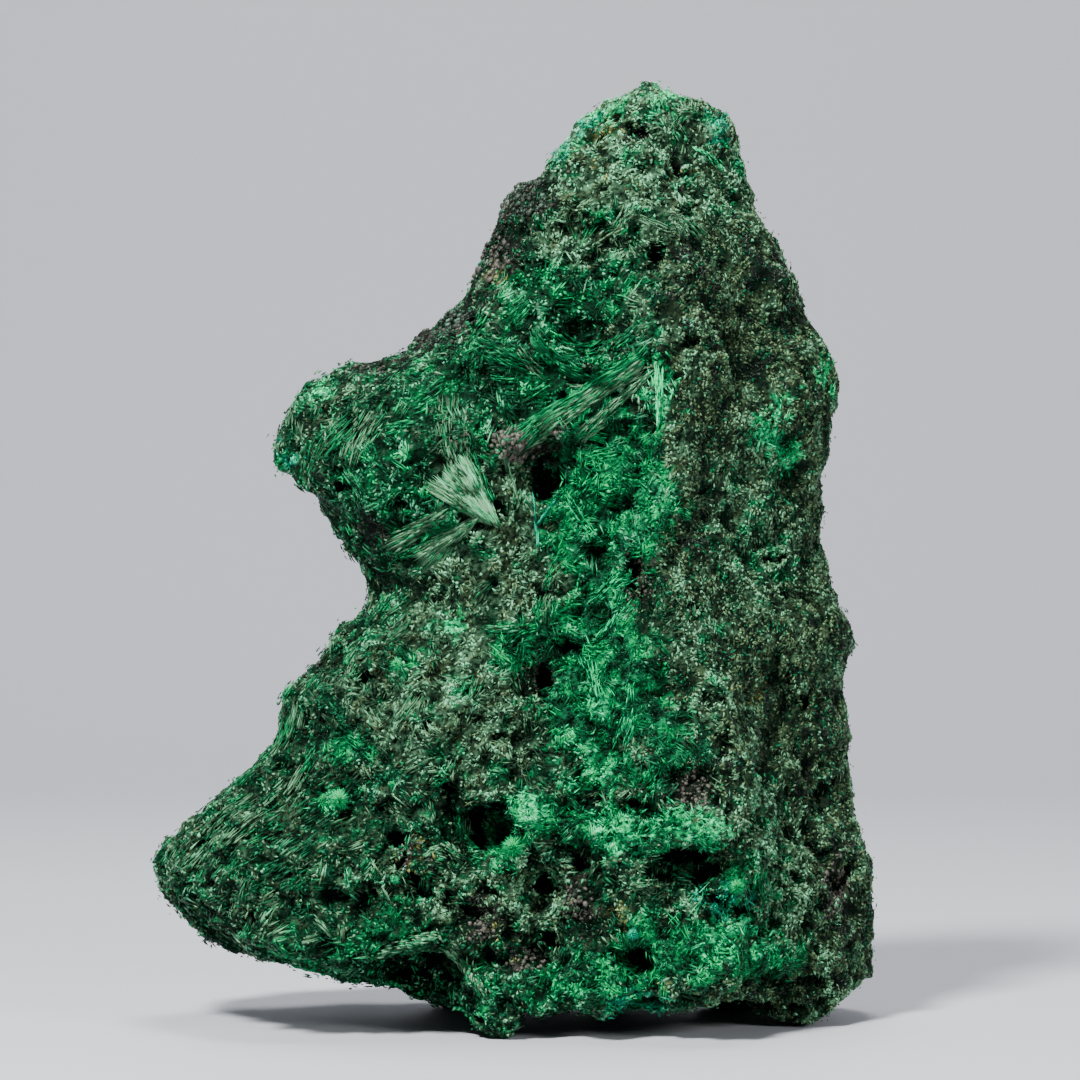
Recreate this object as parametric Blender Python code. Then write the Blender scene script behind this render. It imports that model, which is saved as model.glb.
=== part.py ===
"""Malachite specimen: a free-standing blade of fibrous malachite that grew as one piece.

+Z is up, X runs across the broad face and -Y is its front. The origin is on the
ground, under the middle of the bounding box. Sizes are in millimetres until a
mesh is made, and MM turns them into metres.
"""

import math
import random

import bmesh
import bpy
import numpy as np
from mathutils import Matrix, Vector, noise
from mathutils.bvhtree import BVHTree

MM = 0.001
SEED = 41

# Left and right outline of the broad face: (height, x).
LEFT_OUTLINE = (
    (2.2, -7.0), (3.5, -12.5), (4.7, -18.5), (6.4, -24.8), (8.4, -30.4), (11.4, -34.0),
    (13.8, -35.5), (16.6, -36.0), (18.2, -34.2), (20.6, -31.2), (23.8, -27.4), (28.0, -23.6),
    (31.8, -23.2), (34.3, -22.2), (36.5, -19.0), (40.0, -15.8), (44.0, -14.6), (47.8, -17.2),
    (50.1, -18.3), (52.0, -19.7), (53.6, -21.2), (55.0, -23.4), (57.0, -24.1), (59.0, -23.6),
    (61.0, -22.5), (63.0, -21.7), (64.4, -19.8), (65.5, -17.6), (66.4, -13.4), (67.7, -10.2),
    (69.7, -7.1), (72.0, -5.0), (74.0, -4.1), (76.2, -3.6), (78.0, -2.4), (81.7, -1.5),
    (83.2, -0.4), (85.0, 2.6), (87.7, 4.4), (90.4, 6.6), (91.6, 8.6), (92.8, 11.4), (93.4, 12.2),
)
RIGHT_OUTLINE = (
    (2.2, 32.6), (3.9, 35.0), (5.9, 35.6), (9.4, 36.1), (13.9, 35.9), (18.3, 35.0), (21.3, 33.8),
    (28.3, 33.6), (30.8, 33.0), (34.3, 32.7), (38.0, 33.8), (41.6, 32.7), (46.2, 31.4),
    (50.8, 30.5), (55.0, 30.7), (59.2, 31.4), (62.5, 32.5), (65.2, 32.3), (67.6, 31.4),
    (70.1, 29.4), (73.2, 28.4), (77.0, 26.7), (81.0, 24.2), (85.4, 22.8), (89.5, 21.6),
    (91.4, 19.8), (92.6, 16.8), (93.4, 14.0),
)
# Where the front turns into the right-hand plane: (height, x).
RIDGE_LINE = (
    (2.2, 19.0), (17.0, 20.0), (32.0, 18.4), (46.0, 14.6), (63.0, 15.0), (76.0, 14.6), (93.4, 13.4),
)
# How far the front and the back stand from the middle plane: (height, reach).
FRONT_REACH = (
    (2.2, 16.5), (6.0, 19.0), (14.0, 19.5), (24.0, 18.0), (38.0, 15.5), (52.0, 15.0),
    (66.0, 14.0), (76.0, 11.5), (86.0, 8.6), (91.0, 6.2), (93.4, 2.4),
)
BACK_REACH = (
    (2.2, 17.0), (7.0, 20.0), (18.0, 20.5), (34.0, 18.0), (50.0, 15.0), (66.0, 13.5),
    (76.0, 11.0), (86.0, 8.2), (91.0, 5.6), (93.4, 2.4),
)
# How far the middle plane itself leans back: (height, y).
MIDDLE_LINE = ((2.2, 0.0), (30.0, 0.5), (60.0, 1.5), (93.4, 2.0))

LEVEL_STEP = 0.8
SECTION_POINTS = 64
FUSE_VOXEL = 0.6
BODY_TRIANGLES = 5900
OUTLINE_ROUGHNESS = 0.85
OUTLINE_BITE = 0.1
CALM_AT_FEET = 0.2
GROUND_CLEARANCE = 0.6

# Feet that reach the ground: (x, y, radius across, radius up, height of its centre).
FEET = (
    (0.4, -14.0, 4.4, 3.2, 2.6),
    (28.6, -2.2, 5.4, 3.6, 2.9),
    (-4.0, 12.6, 5.6, 3.4, 2.7),
    (23.0, 12.6, 5.4, 3.4, 2.7),
)

# Knobs that stand out of the outline or the face: (x, y, z, radius).
KNOBS = (
    (-17.0, -1.0, 38.4, 1.5), (-21.0, 0.0, 32.4, 2.0), (-20.6, -1.0, 57.0, 3.0),
    (-18.6, -3.0, 60.8, 3.2), (0.6, 0.5, 81.4, 1.8), (-2.0, 0.5, 74.6, 1.6),
    (-5.6, 0.0, 68.2, 1.8), (-9.4, -1.0, 65.2, 2.0), (10.2, 1.0, 89.6, 2.0),
    (19.0, 1.0, 89.6, 2.4), (25.6, 4.0, 74.0, 2.4), (29.6, 4.5, 64.0, 2.8),
    (31.2, 5.0, 38.4, 2.4), (33.4, 4.0, 14.0, 2.8), (9.0, -15.6, 3.4, 2.0),
    (-12.0, -4.0, 5.2, 2.4), (16.0, -13.0, 3.6, 2.2), (10.0, 14.0, 3.2, 2.6),
)

# Hollows of the front: (x, z, half width, half height, depth).
FRONT_HOLLOWS = (
    (-2.7, 19.4, 3.3, 2.6, 7.5), (-6.1, 23.4, 1.3, 2.1, 4.0), (-11.3, 18.2, 1.7, 1.5, 3.5),
    (-9.4, 14.4, 1.8, 1.6, 4.2), (3.0, 14.8, 2.0, 2.4, 5.5), (-1.8, 7.4, 1.6, 1.5, 3.5),
    (3.2, 8.5, 1.6, 1.5, 3.2), (12.0, 7.6, 1.8, 2.0, 4.6), (12.6, 22.4, 1.7, 1.1, 2.6),
    (17.8, 16.8, 3.1, 2.2, 6.4), (21.0, 12.6, 2.0, 1.6, 3.8), (3.2, 55.2, 2.4, 2.8, 4.6),
    (10.8, 52.0, 1.5, 1.5, 2.8), (8.8, 47.6, 1.5, 1.7, 3.2), (12.2, 43.6, 1.5, 2.8, 3.4),
    (2.2, 34.4, 1.8, 2.2, 3.8), (14.4, 76.2, 1.3, 1.3, 2.4), (12.6, 88.8, 1.3, 1.2, 1.8),
    (-8.6, 6.6, 4.6, 2.0, 6.5), (23.6, 4.3, 5.6, 0.9, 3.2), (-17.6, 13.6, 2.2, 1.3, 2.6),
    (17.4, 24.6, 2.2, 1.5, 2.4), (-14.8, 26.4, 1.7, 1.4, 2.0), (6.4, 68.6, 2.6, 1.2, 1.6),
    (27.2, 30.6, 1.6, 3.0, 2.2), (22.4, 66.0, 1.6, 2.4, 1.8), (-13.0, 33.0, 2.0, 1.6, 1.8),
)
# Ledges and swellings of the front: (x, z, half width, half height, how far it stands out).
FRONT_SWELLINGS = (
    (9.0, 20.6, 8.5, 1.7, 2.4), (19.0, 20.8, 5.0, 1.5, 1.8), (23.4, 7.6, 6.0, 2.0, 3.0),
    (5.0, 4.8, 9.0, 1.8, 2.0), (-20.0, 17.0, 11.0, 5.0, 1.6), (-12.0, 30.0, 8.0, 6.0, 1.8),
    (-11.0, 56.0, 9.0, 6.0, 1.6), (0.6, 58.2, 2.2, 1.7, 2.2), (4.6, 59.6, 1.8, 1.3, 1.6),
    (-1.0, 17.2, 1.9, 1.6, 2.4), (-17.6, 22.6, 1.8, 1.6, 2.2), (-11.0, 36.2, 1.3, 1.2, 1.9),
    (22.6, 14.9, 2.4, 1.3, 1.8), (8.0, 63.4, 7.0, 1.2, 1.1), (9.5, 66.2, 8.0, 1.1, 1.1),
    (5.4, 28.5, 6.0, 4.0, -1.4), (5.6, 44.0, 4.4, 11.0, -2.6), (12.0, 10.8, 1.9, 1.0, 1.6),
    (-24.0, 9.6, 8.0, 1.3, 1.8), (8.0, 83.0, 6.0, 5.0, 1.2),
)

# Scattered hollows and ledges of the back.
REAR_FORMS = 34
REAR_SPAN_X = (-26, 30)
REAR_SPAN_Z = (6, 86)

# Fans and bundles of blades on the front.
# (root x, root z, direction in the face in degrees, spread in degrees, blades,
#  length, width at the root, how far they stand off the face in degrees)
BLADE_GROUPS = (
    (-2.0, 51.6, 131.0, 62.0, 9, 8.6, 1.25, 20.0),
    (-5.6, 53.0, 232.0, 46.0, 6, 6.0, 0.95, 18.0),
    (-6.2, 58.0, 96.0, 40.0, 5, 5.4, 0.95, 22.0),
    (-13.6, 57.0, 24.0, 30.0, 4, 4.6, 0.85, 24.0),
    (11.4, 61.6, 200.0, 34.0, 6, 9.0, 0.95, 12.0),
    (12.0, 65.2, 188.0, 26.0, 5, 9.4, 0.95, 12.0),
    (4.0, 67.4, 150.0, 44.0, 5, 6.4, 0.90, 20.0),
    (6.0, 74.4, 110.0, 70.0, 6, 5.2, 0.85, 26.0),
    (2.6, 47.2, 84.0, 46.0, 4, 4.6, 0.80, 20.0),
    (-33.2, 17.2, 36.0, 26.0, 6, 9.6, 1.05, 12.0),
    (-30.0, 14.0, 22.0, 26.0, 6, 10.0, 1.05, 12.0),
    (-27.0, 19.6, 38.0, 18.0, 5, 9.0, 1.00, 14.0),
    (-21.4, 23.0, 30.0, 26.0, 5, 6.6, 1.05, 22.0),
    (-24.6, 9.4, 34.0, 24.0, 4, 6.0, 1.10, 24.0),
    (-21.0, 7.8, 22.0, 20.0, 4, 5.4, 1.10, 26.0),
    (-10.0, 27.0, 300.0, 50.0, 5, 4.8, 0.85, 26.0),
    (6.4, 38.0, 60.0, 80.0, 6, 4.4, 0.85, 30.0),
    (8.6, 29.0, 215.0, 80.0, 6, 4.6, 0.90, 28.0),
    (14.0, 20.0, 250.0, 60.0, 5, 4.4, 0.95, 26.0),
    (19.6, 9.2, 20.0, 50.0, 5, 5.0, 0.95, 22.0),
)
SINGLE_CRYSTALS = 46
SINGLE_LENGTH = (3.0, 4.6)
SINGLE_WIDTH = (0.9, 1.4)
ROOT_SUNK = 0.8

GREEN = (0.020, 0.135, 0.062, 1.0)
ROUGHNESS = 0.55


def clear_scene():
    for obj in list(bpy.data.objects):
        bpy.data.objects.remove(obj, do_unlink=True)


def read_line(line, height):
    heights, values = zip(*line)
    return float(np.interp(height, heights, values))


def catmull_rom_loop(points, count):
    """A smooth closed line of count points through the given ones."""
    total = len(points)
    smooth = []
    for i in range(count):
        place = i * total / count
        k = int(place)
        t = place - k
        a, b, c, d = (points[(k + j) % total] for j in (-1, 0, 1, 2))
        smooth.append(0.5 * (2 * b + (c - a) * t + (2 * a - 5 * b + 4 * c - d) * t**2
                             + (3 * b - a - 3 * c + d) * t**3))
    return smooth


def section(height):
    """The horizontal outline of the body at one height, from the left edge round the front."""
    left = read_line(LEFT_OUTLINE, height)
    right = read_line(RIGHT_OUTLINE, height)
    middle = read_line(MIDDLE_LINE, height)
    front = read_line(FRONT_REACH, height)
    back = read_line(BACK_REACH, height)
    ridge = (read_line(RIDGE_LINE, height) - left) / (right - left)
    beyond = 1 - ridge
    shape = (
        (0.0, 0.02), (0.035, -0.40), (0.15, -0.76), (0.36 * ridge + 0.08, -0.90),
        (0.70 * ridge, -0.83), (ridge - 0.05, -1.0), (ridge + 0.04, -0.98),
        (ridge + 0.42 * beyond, -0.60), (ridge + 0.80 * beyond, -0.22), (1.0, 0.18),
        (0.965, 0.58), (0.84, 0.88), (0.62, 1.0), (0.36, 0.92), (0.14, 0.72), (0.03, 0.36),
    )
    points = []
    for across, depth in shape:
        reach = front if depth < 0 else back
        points.append(Vector((left + across * (right - left), middle + depth * reach, height)))
    return catmull_rom_loop(points, SECTION_POINTS)


def lofted_body(bm):
    """Closes the sections into one body."""
    low = LEFT_OUTLINE[0][0]
    high = LEFT_OUTLINE[-1][0]
    levels = np.linspace(low, high, int((high - low) / LEVEL_STEP) + 1)
    rings = []
    for height in levels:
        rings.append([bm.verts.new(point * MM) for point in section(float(height))])
    for below, above in zip(rings, rings[1:]):
        for i in range(SECTION_POINTS):
            j = (i + 1) % SECTION_POINTS
            bm.faces.new((below[i], below[j], above[j], above[i]))
    bm.faces.new(list(reversed(rings[0])))
    bm.faces.new(rings[-1])


def add_ball(bm, centre, radii):
    """An egg-shaped lump."""
    place = Matrix.Translation(Vector(centre) * MM) @ Matrix.Diagonal((*[r * MM for r in radii], 1.0))
    bmesh.ops.create_icosphere(bm, subdivisions=3, radius=1.0, matrix=place)


def new_object(name, bm):
    mesh = bpy.data.meshes.new(name)
    bm.to_mesh(mesh)
    bm.free()
    obj = bpy.data.objects.new(name, mesh)
    bpy.context.scene.collection.objects.link(obj)
    return obj


def keep_modified(obj):
    """Replaces the object's mesh by what its modifiers make of it."""
    graph = bpy.context.evaluated_depsgraph_get()
    made = bpy.data.meshes.new_from_object(obj.evaluated_get(graph))
    obj.modifiers.clear()
    old = obj.data
    obj.data = made
    bpy.data.meshes.remove(old)


def fuse(obj, voxel):
    """Joins overlapping shells into one even skin."""
    remesh = obj.modifiers.new("fuse", "REMESH")
    remesh.mode = "VOXEL"
    remesh.voxel_size = voxel * MM
    keep_modified(obj)


def bump(distance):
    """1 in the middle, 0 from a distance of 1 on, with a round shoulder."""
    inside = np.clip(1 - distance**2, 0, 1)
    return inside**2 * (3 - 2 * inside)


def face_relief(points, out):
    """How far the front's hollows and swellings move each point back, given how much it faces front."""
    moved = np.zeros(len(points))
    for x, z, half_width, half_height, depth in FRONT_HOLLOWS:
        ragged = 1 + 0.22 * np.sin(2.3 * points[:, 0] + x) * np.sin(2.1 * points[:, 2] + z)
        away = np.hypot((points[:, 0] - x) / half_width, (points[:, 2] - z) / half_height)
        moved += depth * bump(away / (1.45 * ragged))
    for x, z, half_width, half_height, height in FRONT_SWELLINGS:
        away = np.hypot((points[:, 0] - x) / half_width, (points[:, 2] - z) / half_height)
        moved -= height * bump(away / 1.3)
    return moved * np.clip(out * 1.8, 0, 1)


def rear_relief(points, out, chance):
    """The same for the back, whose hollows and ledges are scattered, two hollows to a ledge."""
    moved = np.zeros(len(points))
    for _ in range(REAR_FORMS):
        x = chance.uniform(*REAR_SPAN_X)
        z = chance.uniform(*REAR_SPAN_Z)
        half_width = chance.uniform(1.8, 5.0)
        half_height = chance.uniform(1.4, 3.4)
        depth = chance.uniform(1.6, 4.2) * chance.choice((1, 1, -0.7))
        away = np.hypot((points[:, 0] - x) / half_width, (points[:, 2] - z) / half_height)
        moved += depth * bump(away / 1.3)
    return moved * np.clip(out * 1.8, 0, 1)


def lumpiness(point):
    """The coarse, crusty roughness of the whole skin, in millimetres along the normal."""
    broad = noise.fractal(point / 15.0, 1.0, 2.1, 3)
    crust = noise.fractal(point / 5.0 + Vector((7, 3, 5)), 0.9, 2.2, 2)
    near = noise.voronoi(point / 3.4)[0]
    knob = 0.55 - near[0]
    crack = min(near[1] - near[0], 0.35)
    return 1.7 * broad + 1.2 * crust + 1.2 * knob + 1.8 * (crack - 0.2)


def at_feet(points):
    """True for each point that belongs to the low end of a foot."""
    near = np.zeros(len(points), bool)
    for x, y, across, _, height in FEET:
        near |= (np.hypot(points[:, 0] - x, points[:, 1] - y) < across) & (points[:, 2] < height)
    return near


def roughen(obj):
    """Gives the smooth body its hollows, ledges and crusty skin."""
    mesh = obj.data
    count = len(mesh.vertices)
    points = np.empty(count * 3)
    mesh.vertices.foreach_get("co", points)
    points = points.reshape(-1, 3) / MM
    normals = np.empty(count * 3, np.float32)
    mesh.vertex_normals.foreach_get("vector", normals)
    normals = normals.reshape(-1, 3)
    chance = random.Random(SEED)
    moved = points.copy()
    moved[:, 1] += face_relief(points, -normals[:, 1])
    moved[:, 1] -= rear_relief(points, normals[:, 1], chance)
    crust = np.array([lumpiness(Vector(point)) for point in points])
    facing = np.abs(normals[:, 1])
    crust = crust * np.clip(facing * 1.5, OUTLINE_ROUGHNESS, 1) - OUTLINE_BITE * (1 - facing)
    crust[at_feet(points)] *= CALM_AT_FEET
    moved += normals * crust[:, None]
    mesh.vertices.foreach_set("co", (moved * MM).ravel())
    mesh.update()


def thin_out(obj, triangles):
    """Leaves about this many triangles, most of them where the surface bends most."""
    obj.modifiers.new("triangles", "TRIANGULATE")
    keep_modified(obj)
    decimate = obj.modifiers.new("thin out", "DECIMATE")
    decimate.ratio = triangles / len(obj.data.polygons)
    decimate.use_collapse_triangulate = True
    keep_modified(obj)


def add_blade(bm, root, direction, length, width, roll):
    """One straight crystal with four flat sides, narrowing to a chisel tip."""
    turn = direction.to_track_quat("Z", "Y").to_matrix().to_4x4()
    place = Matrix.Translation(root) @ turn @ Matrix.Rotation(roll, 4, "Z")
    flat = Matrix.Diagonal((1.0, 0.55, 1.0, 1.0))
    half = length * MM / 2
    bmesh.ops.create_cone(
        bm, cap_ends=True, cap_tris=False, segments=4, radius1=width * MM * 0.62,
        radius2=width * MM * 0.26, depth=2 * half,
        matrix=place @ Matrix.Translation((0, 0, half)) @ flat,
    )


def surface_from_front(tree, x, z):
    """The point of the skin that a line from the front meets, and the skin's normal there."""
    return tree.ray_cast(Vector((x, -60, z)) * MM, Vector((0, 1, 0)))[:2]


def grow_groups(bm, tree, chance):
    for x, z, heading, spread, blades, length, width, lift in BLADE_GROUPS:
        root = surface_from_front(tree, x, z)[0]
        if root is None:
            continue
        for i in range(blades):
            part_way = i / (blades - 1) - 0.5
            angle = math.radians(heading + spread * part_way + chance.uniform(-4, 4))
            rise = math.radians(lift + chance.uniform(-8, 10))
            direction = Vector((math.cos(angle) * math.cos(rise), -math.sin(rise),
                                math.sin(angle) * math.cos(rise)))
            side = Vector((-math.sin(angle), 0, math.cos(angle)))
            start = root + side * part_way * width * 1.6 * MM - direction * ROOT_SUNK * MM
            start.y += ROOT_SUNK * 0.6 * MM
            add_blade(bm, start, direction, length * chance.uniform(0.78, 1.08),
                      width * chance.uniform(0.85, 1.15), chance.uniform(-0.5, 0.5))


def grow_singles(bm, tree, chance):
    """Stout crystals scattered over the sides, the top and the back."""
    grown = 0
    while grown < SINGLE_CRYSTALS:
        turn = chance.uniform(0, 2 * math.pi)
        height = chance.uniform(8, 88)
        look = Vector((math.cos(turn), math.sin(turn), 0))
        middle = 0.5 * (read_line(LEFT_OUTLINE, height) + read_line(RIGHT_OUTLINE, height))
        away = Vector((middle, 0, height)) * MM + look * 90 * MM
        root, normal = tree.ray_cast(away, -look)[:2]
        if root is None or (normal.y < -0.5 and chance.random() < 0.7):
            continue
        lean = Vector((chance.uniform(-1, 1), chance.uniform(-1, 1), chance.uniform(-1, 1)))
        direction = (normal + 0.95 * lean.normalized()).normalized()
        edge = max(abs(root.x) - 31 * MM, 0)
        if edge > 0 or root.z > 86 * MM:
            direction = (direction + Vector((-math.copysign(1.2, root.x), 0, -0.6))).normalized()
        add_blade(bm, root - direction * 1.6 * MM, direction, chance.uniform(*SINGLE_LENGTH),
                  chance.uniform(*SINGLE_WIDTH), chance.uniform(0, math.pi))
        grown += 1


def grow_crystals(body):
    """All the crystals, in one helper object that the body then takes in."""
    skin = bmesh.new()
    skin.from_mesh(body.data)
    tree = BVHTree.FromBMesh(skin)
    skin.free()
    chance = random.Random(SEED + 1)
    bm = bmesh.new()
    grow_groups(bm, tree, chance)
    grow_singles(bm, tree, chance)
    return new_object("crystals_helper", bm)


def boolean(obj, other, operation):
    other.hide_render = True
    other.display_type = "WIRE"
    join = obj.modifiers.new(operation.lower(), "BOOLEAN")
    join.operation = operation
    join.object = other
    join.use_self = operation == "UNION"
    keep_modified(obj)


def drop_loose_shells(obj):
    """Removes sealed pockets and crumbs, which are shells apart from the outer skin."""
    bm = bmesh.new()
    bm.from_mesh(obj.data)
    unseen = set(bm.verts)
    shells = []
    while unseen:
        shell = {unseen.pop()}
        edge_of_search = list(shell)
        while edge_of_search:
            for edge in edge_of_search.pop().link_edges:
                for vertex in edge.verts:
                    if vertex not in shell:
                        shell.add(vertex)
                        edge_of_search.append(vertex)
        unseen -= shell
        shells.append(shell)
    skin = max(shells, key=len)
    loose = [vertex for vertex in bm.verts if vertex not in skin]
    bmesh.ops.delete(bm, geom=loose, context="VERTS")
    bm.to_mesh(obj.data)
    bm.free()


def below_ground():
    """A block whose top is the ground, which leaves flat soles under the feet."""
    bm = bmesh.new()
    size = Matrix.Diagonal((120 * MM, 120 * MM, 20 * MM, 1.0))
    bmesh.ops.create_cube(bm, size=1.0, matrix=Matrix.Translation((0, 0, -10 * MM)) @ size)
    return new_object("ground_helper", bm)


def settle_tips(obj):
    """Keeps every point that isn't part of a foot clear of the ground."""
    points = np.array([vertex.co for vertex in obj.data.vertices]) / MM
    foot = at_feet(points)
    for vertex, is_foot in zip(obj.data.vertices, foot):
        if not is_foot and vertex.co.z < GROUND_CLEARANCE * MM:
            vertex.co.z = GROUND_CLEARANCE * MM


def centre(obj):
    """Puts the origin under the middle of the bounding box, at ground level."""
    corners = [Vector(corner) for corner in obj.bound_box]
    low = Vector(min(corner[axis] for corner in corners) for axis in range(3))
    high = Vector(max(corner[axis] for corner in corners) for axis in range(3))
    obj.data.transform(Matrix.Translation((-(low.x + high.x) / 2, -(low.y + high.y) / 2, -low.z)))


def finish(obj):
    material = bpy.data.materials.new("malachite")
    material.use_nodes = True
    shader = material.node_tree.nodes["Principled BSDF"]
    shader.inputs["Base Color"].default_value = GREEN
    shader.inputs["Roughness"].default_value = ROUGHNESS
    shader.inputs["Metallic"].default_value = 0.0
    obj.data.materials.clear()
    obj.data.materials.append(material)


def main():
    clear_scene()
    bm = bmesh.new()
    lofted_body(bm)
    for x, y, z, radius in KNOBS:
        add_ball(bm, (x, y, z), (radius, radius * 1.1, radius * 0.95))
    for x, y, across, up, height in FEET:
        add_ball(bm, (x, y, height), (across, across * 0.85, up))
    specimen = new_object("malachite_specimen", bm)
    fuse(specimen, FUSE_VOXEL)
    roughen(specimen)
    fuse(specimen, FUSE_VOXEL)
    thin_out(specimen, BODY_TRIANGLES)
    crystals = grow_crystals(specimen)
    boolean(specimen, crystals, "UNION")
    drop_loose_shells(specimen)
    settle_tips(specimen)
    ground = below_ground()
    boolean(specimen, ground, "DIFFERENCE")
    for helper in (crystals, ground):
        bpy.data.objects.remove(helper, do_unlink=True)
    centre(specimen)
    finish(specimen)


main()
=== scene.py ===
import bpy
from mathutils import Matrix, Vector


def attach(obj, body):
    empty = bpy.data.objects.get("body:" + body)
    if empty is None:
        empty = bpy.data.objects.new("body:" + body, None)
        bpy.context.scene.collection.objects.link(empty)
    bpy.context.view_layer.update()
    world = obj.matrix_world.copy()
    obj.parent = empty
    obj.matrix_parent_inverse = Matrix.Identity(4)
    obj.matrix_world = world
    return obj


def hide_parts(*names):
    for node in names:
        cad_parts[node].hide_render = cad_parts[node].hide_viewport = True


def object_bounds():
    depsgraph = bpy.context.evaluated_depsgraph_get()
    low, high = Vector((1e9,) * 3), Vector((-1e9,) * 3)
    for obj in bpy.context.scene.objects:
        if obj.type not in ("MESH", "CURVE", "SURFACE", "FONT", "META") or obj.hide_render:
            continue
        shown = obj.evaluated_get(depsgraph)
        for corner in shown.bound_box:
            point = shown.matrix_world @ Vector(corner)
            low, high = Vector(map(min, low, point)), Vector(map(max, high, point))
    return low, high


bl_info = {
    "name": "Malachite Specimen",
    "version": (1, 0, 0),
    "blender": (4, 5, 0),
    "location": "View3D > Sidebar > Malachite",
    "description": "Dresses a malachite specimen in its crust, needles, fans and drusy grains",
    "category": "Object",
}

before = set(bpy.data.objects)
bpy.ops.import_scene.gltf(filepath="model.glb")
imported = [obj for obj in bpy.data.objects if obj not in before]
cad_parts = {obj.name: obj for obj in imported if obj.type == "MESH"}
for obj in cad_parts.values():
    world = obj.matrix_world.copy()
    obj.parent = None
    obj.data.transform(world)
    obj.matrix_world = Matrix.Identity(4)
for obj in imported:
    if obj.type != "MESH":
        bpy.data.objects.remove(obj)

import math

import bpy
import numpy as np
from bpy.props import FloatProperty, FloatVectorProperty, IntProperty, PointerProperty
from mathutils import Vector
from mathutils.bvhtree import BVHTree
from mathutils.kdtree import KDTree

CAD_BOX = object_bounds()
NODE = "malachite_specimen"
MM = 0.001

# How far past the specimen's own box the crust and the crystals may reach, and that wider box.
BOX_SLACK = 0.2 * MM
LOW_CORNER = np.array(CAD_BOX[0]) - BOX_SLACK
HIGH_CORNER = np.array(CAD_BOX[1]) + BOX_SLACK

# Tones of the mineral, in the order that they lie across the tone map, and the tone that some
# needles of a sheaf take instead of its own.
TONES = ("black", "deep", "olive", "grey", "leaf", "vivid", "mint", "teal", "ochre", "brown")
SECOND_TONE = {"grey": "leaf", "leaf": "vivid", "mint": "vivid"}

# Habits that several kinds of ground share.
BUNDLED = dict(width=(0.18, 0.30), stand=8, spray=7, fan=9, crowd=1.0)
STUBBY = dict(length=(0.4, 0.8), width=(0.20, 0.30), stand=20, spray=3, fan=40, crowd=0.2)
COARSE = dict(length=(0.4, 0.9), width=(0.16, 0.26), stand=16, spray=4, fan=24, crowd=0.6)
FINE = dict(length=(0.4, 1.0), width=(0.16, 0.26), stand=16, spray=4, fan=24, crowd=0.7)

# How the crystals of each kind of ground look.
# mix: share of each tone; glow: usual brightness from 0 to 1; sparkle: share of crystals given a
# painted glint; length, width: in millimetres; stand: degrees off the skin; spray: needles from one
# root; fan: degrees that a spray spreads; crowd: how densely they stand.
GROUNDS = {
    "felt": dict(mix=dict(deep=4, leaf=3, grey=4, olive=1), glow=0.40, sparkle=0.12,
                 length=(0.9, 2.0), **BUNDLED),
    "pale": dict(mix=dict(grey=8, olive=2, leaf=1), glow=0.51, sparkle=0.14,
                 length=(0.7, 1.5), width=(0.16, 0.26), stand=10, spray=6, fan=12, crowd=1.0),
    "green": dict(mix=dict(deep=4, leaf=5, vivid=3, grey=1), glow=0.38, sparkle=0.12,
                  length=(0.9, 2.1), **BUNDLED),
    "vivid": dict(mix=dict(deep=3, leaf=5, vivid=6), glow=0.37, sparkle=0.12,
                  length=(0.8, 1.8), width=(0.16, 0.26), stand=12, spray=6, fan=14, crowd=1.2),
    "mint": dict(mix=dict(vivid=4, mint=6), glow=0.75, sparkle=0.22,
                 length=(0.6, 1.4), width=(0.16, 0.26), stand=16, spray=6, fan=18, crowd=1.2),
    "teal": dict(mix=dict(teal=7, vivid=2), glow=0.44, sparkle=0.14,
                 length=(0.5, 1.2), width=(0.18, 0.28), stand=18, spray=5, fan=24, crowd=1.0),
    "brown": dict(mix=dict(brown=6, black=4, olive=1), glow=0.34, sparkle=0.05, **STUBBY),
    "rust": dict(mix=dict(brown=5, ochre=2, deep=2), glow=0.40, sparkle=0.08, **STUBBY),
    "ochre": dict(mix=dict(ochre=6, olive=3, grey=2), glow=0.46, sparkle=0.12,
                  length=(0.5, 1.0), width=(0.18, 0.28), stand=18, spray=4, fan=30, crowd=0.4),
    "lumps": dict(mix=dict(black=6, brown=3, deep=2), glow=0.30, sparkle=0.08, **STUBBY),
    "wing": dict(mix=dict(deep=4, leaf=3, grey=4, olive=1), glow=0.35, sparkle=0.12,
                 length=(1.0, 2.2), width=(0.20, 0.32), stand=4, spray=7, fan=6, crowd=1.0),
    "drusy": dict(mix=dict(black=1, deep=2, olive=6, grey=4), glow=0.42, sparkle=0.08, **COARSE),
    "dark_drusy": dict(mix=dict(black=2, deep=2, olive=7, grey=2), glow=0.34, sparkle=0.06, **COARSE),
    "fine_drusy": dict(mix=dict(deep=1, olive=3, grey=7, leaf=1), glow=0.53, sparkle=0.12, **FINE),
    "frosted": dict(mix=dict(deep=1, olive=3, grey=7, leaf=2), glow=0.70, sparkle=0.14, **FINE),
}
GROUND_NAMES = tuple(GROUNDS)
KIND_NUMBER = {name: number for number, name in enumerate(GROUND_NAMES)}
FRONT_GROUNDS = ("felt", "pale", "green", "wing")
BRIGHT_GROUNDS = ("vivid", "mint", "teal")
DRUSY_GROUNDS = ("drusy", "dark_drusy", "fine_drusy", "frosted", "brown", "rust", "ochre", "lumps")
# The grounds that loose sheaves lie on, and the sheaves' tone there.
SHEAF_TONES = {"felt": "leaf", "pale": "grey", "green": "leaf", "vivid": "vivid", "mint": "mint"}

# Where the front turns into the right-hand plane: (height, x), in millimetres.
RIDGE_LINE = ((2.2, 19.0), (17.0, 20.0), (32.0, 18.4), (46.0, 14.6), (63.0, 15.0), (76.0, 14.6),
              (93.4, 13.4))

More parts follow.
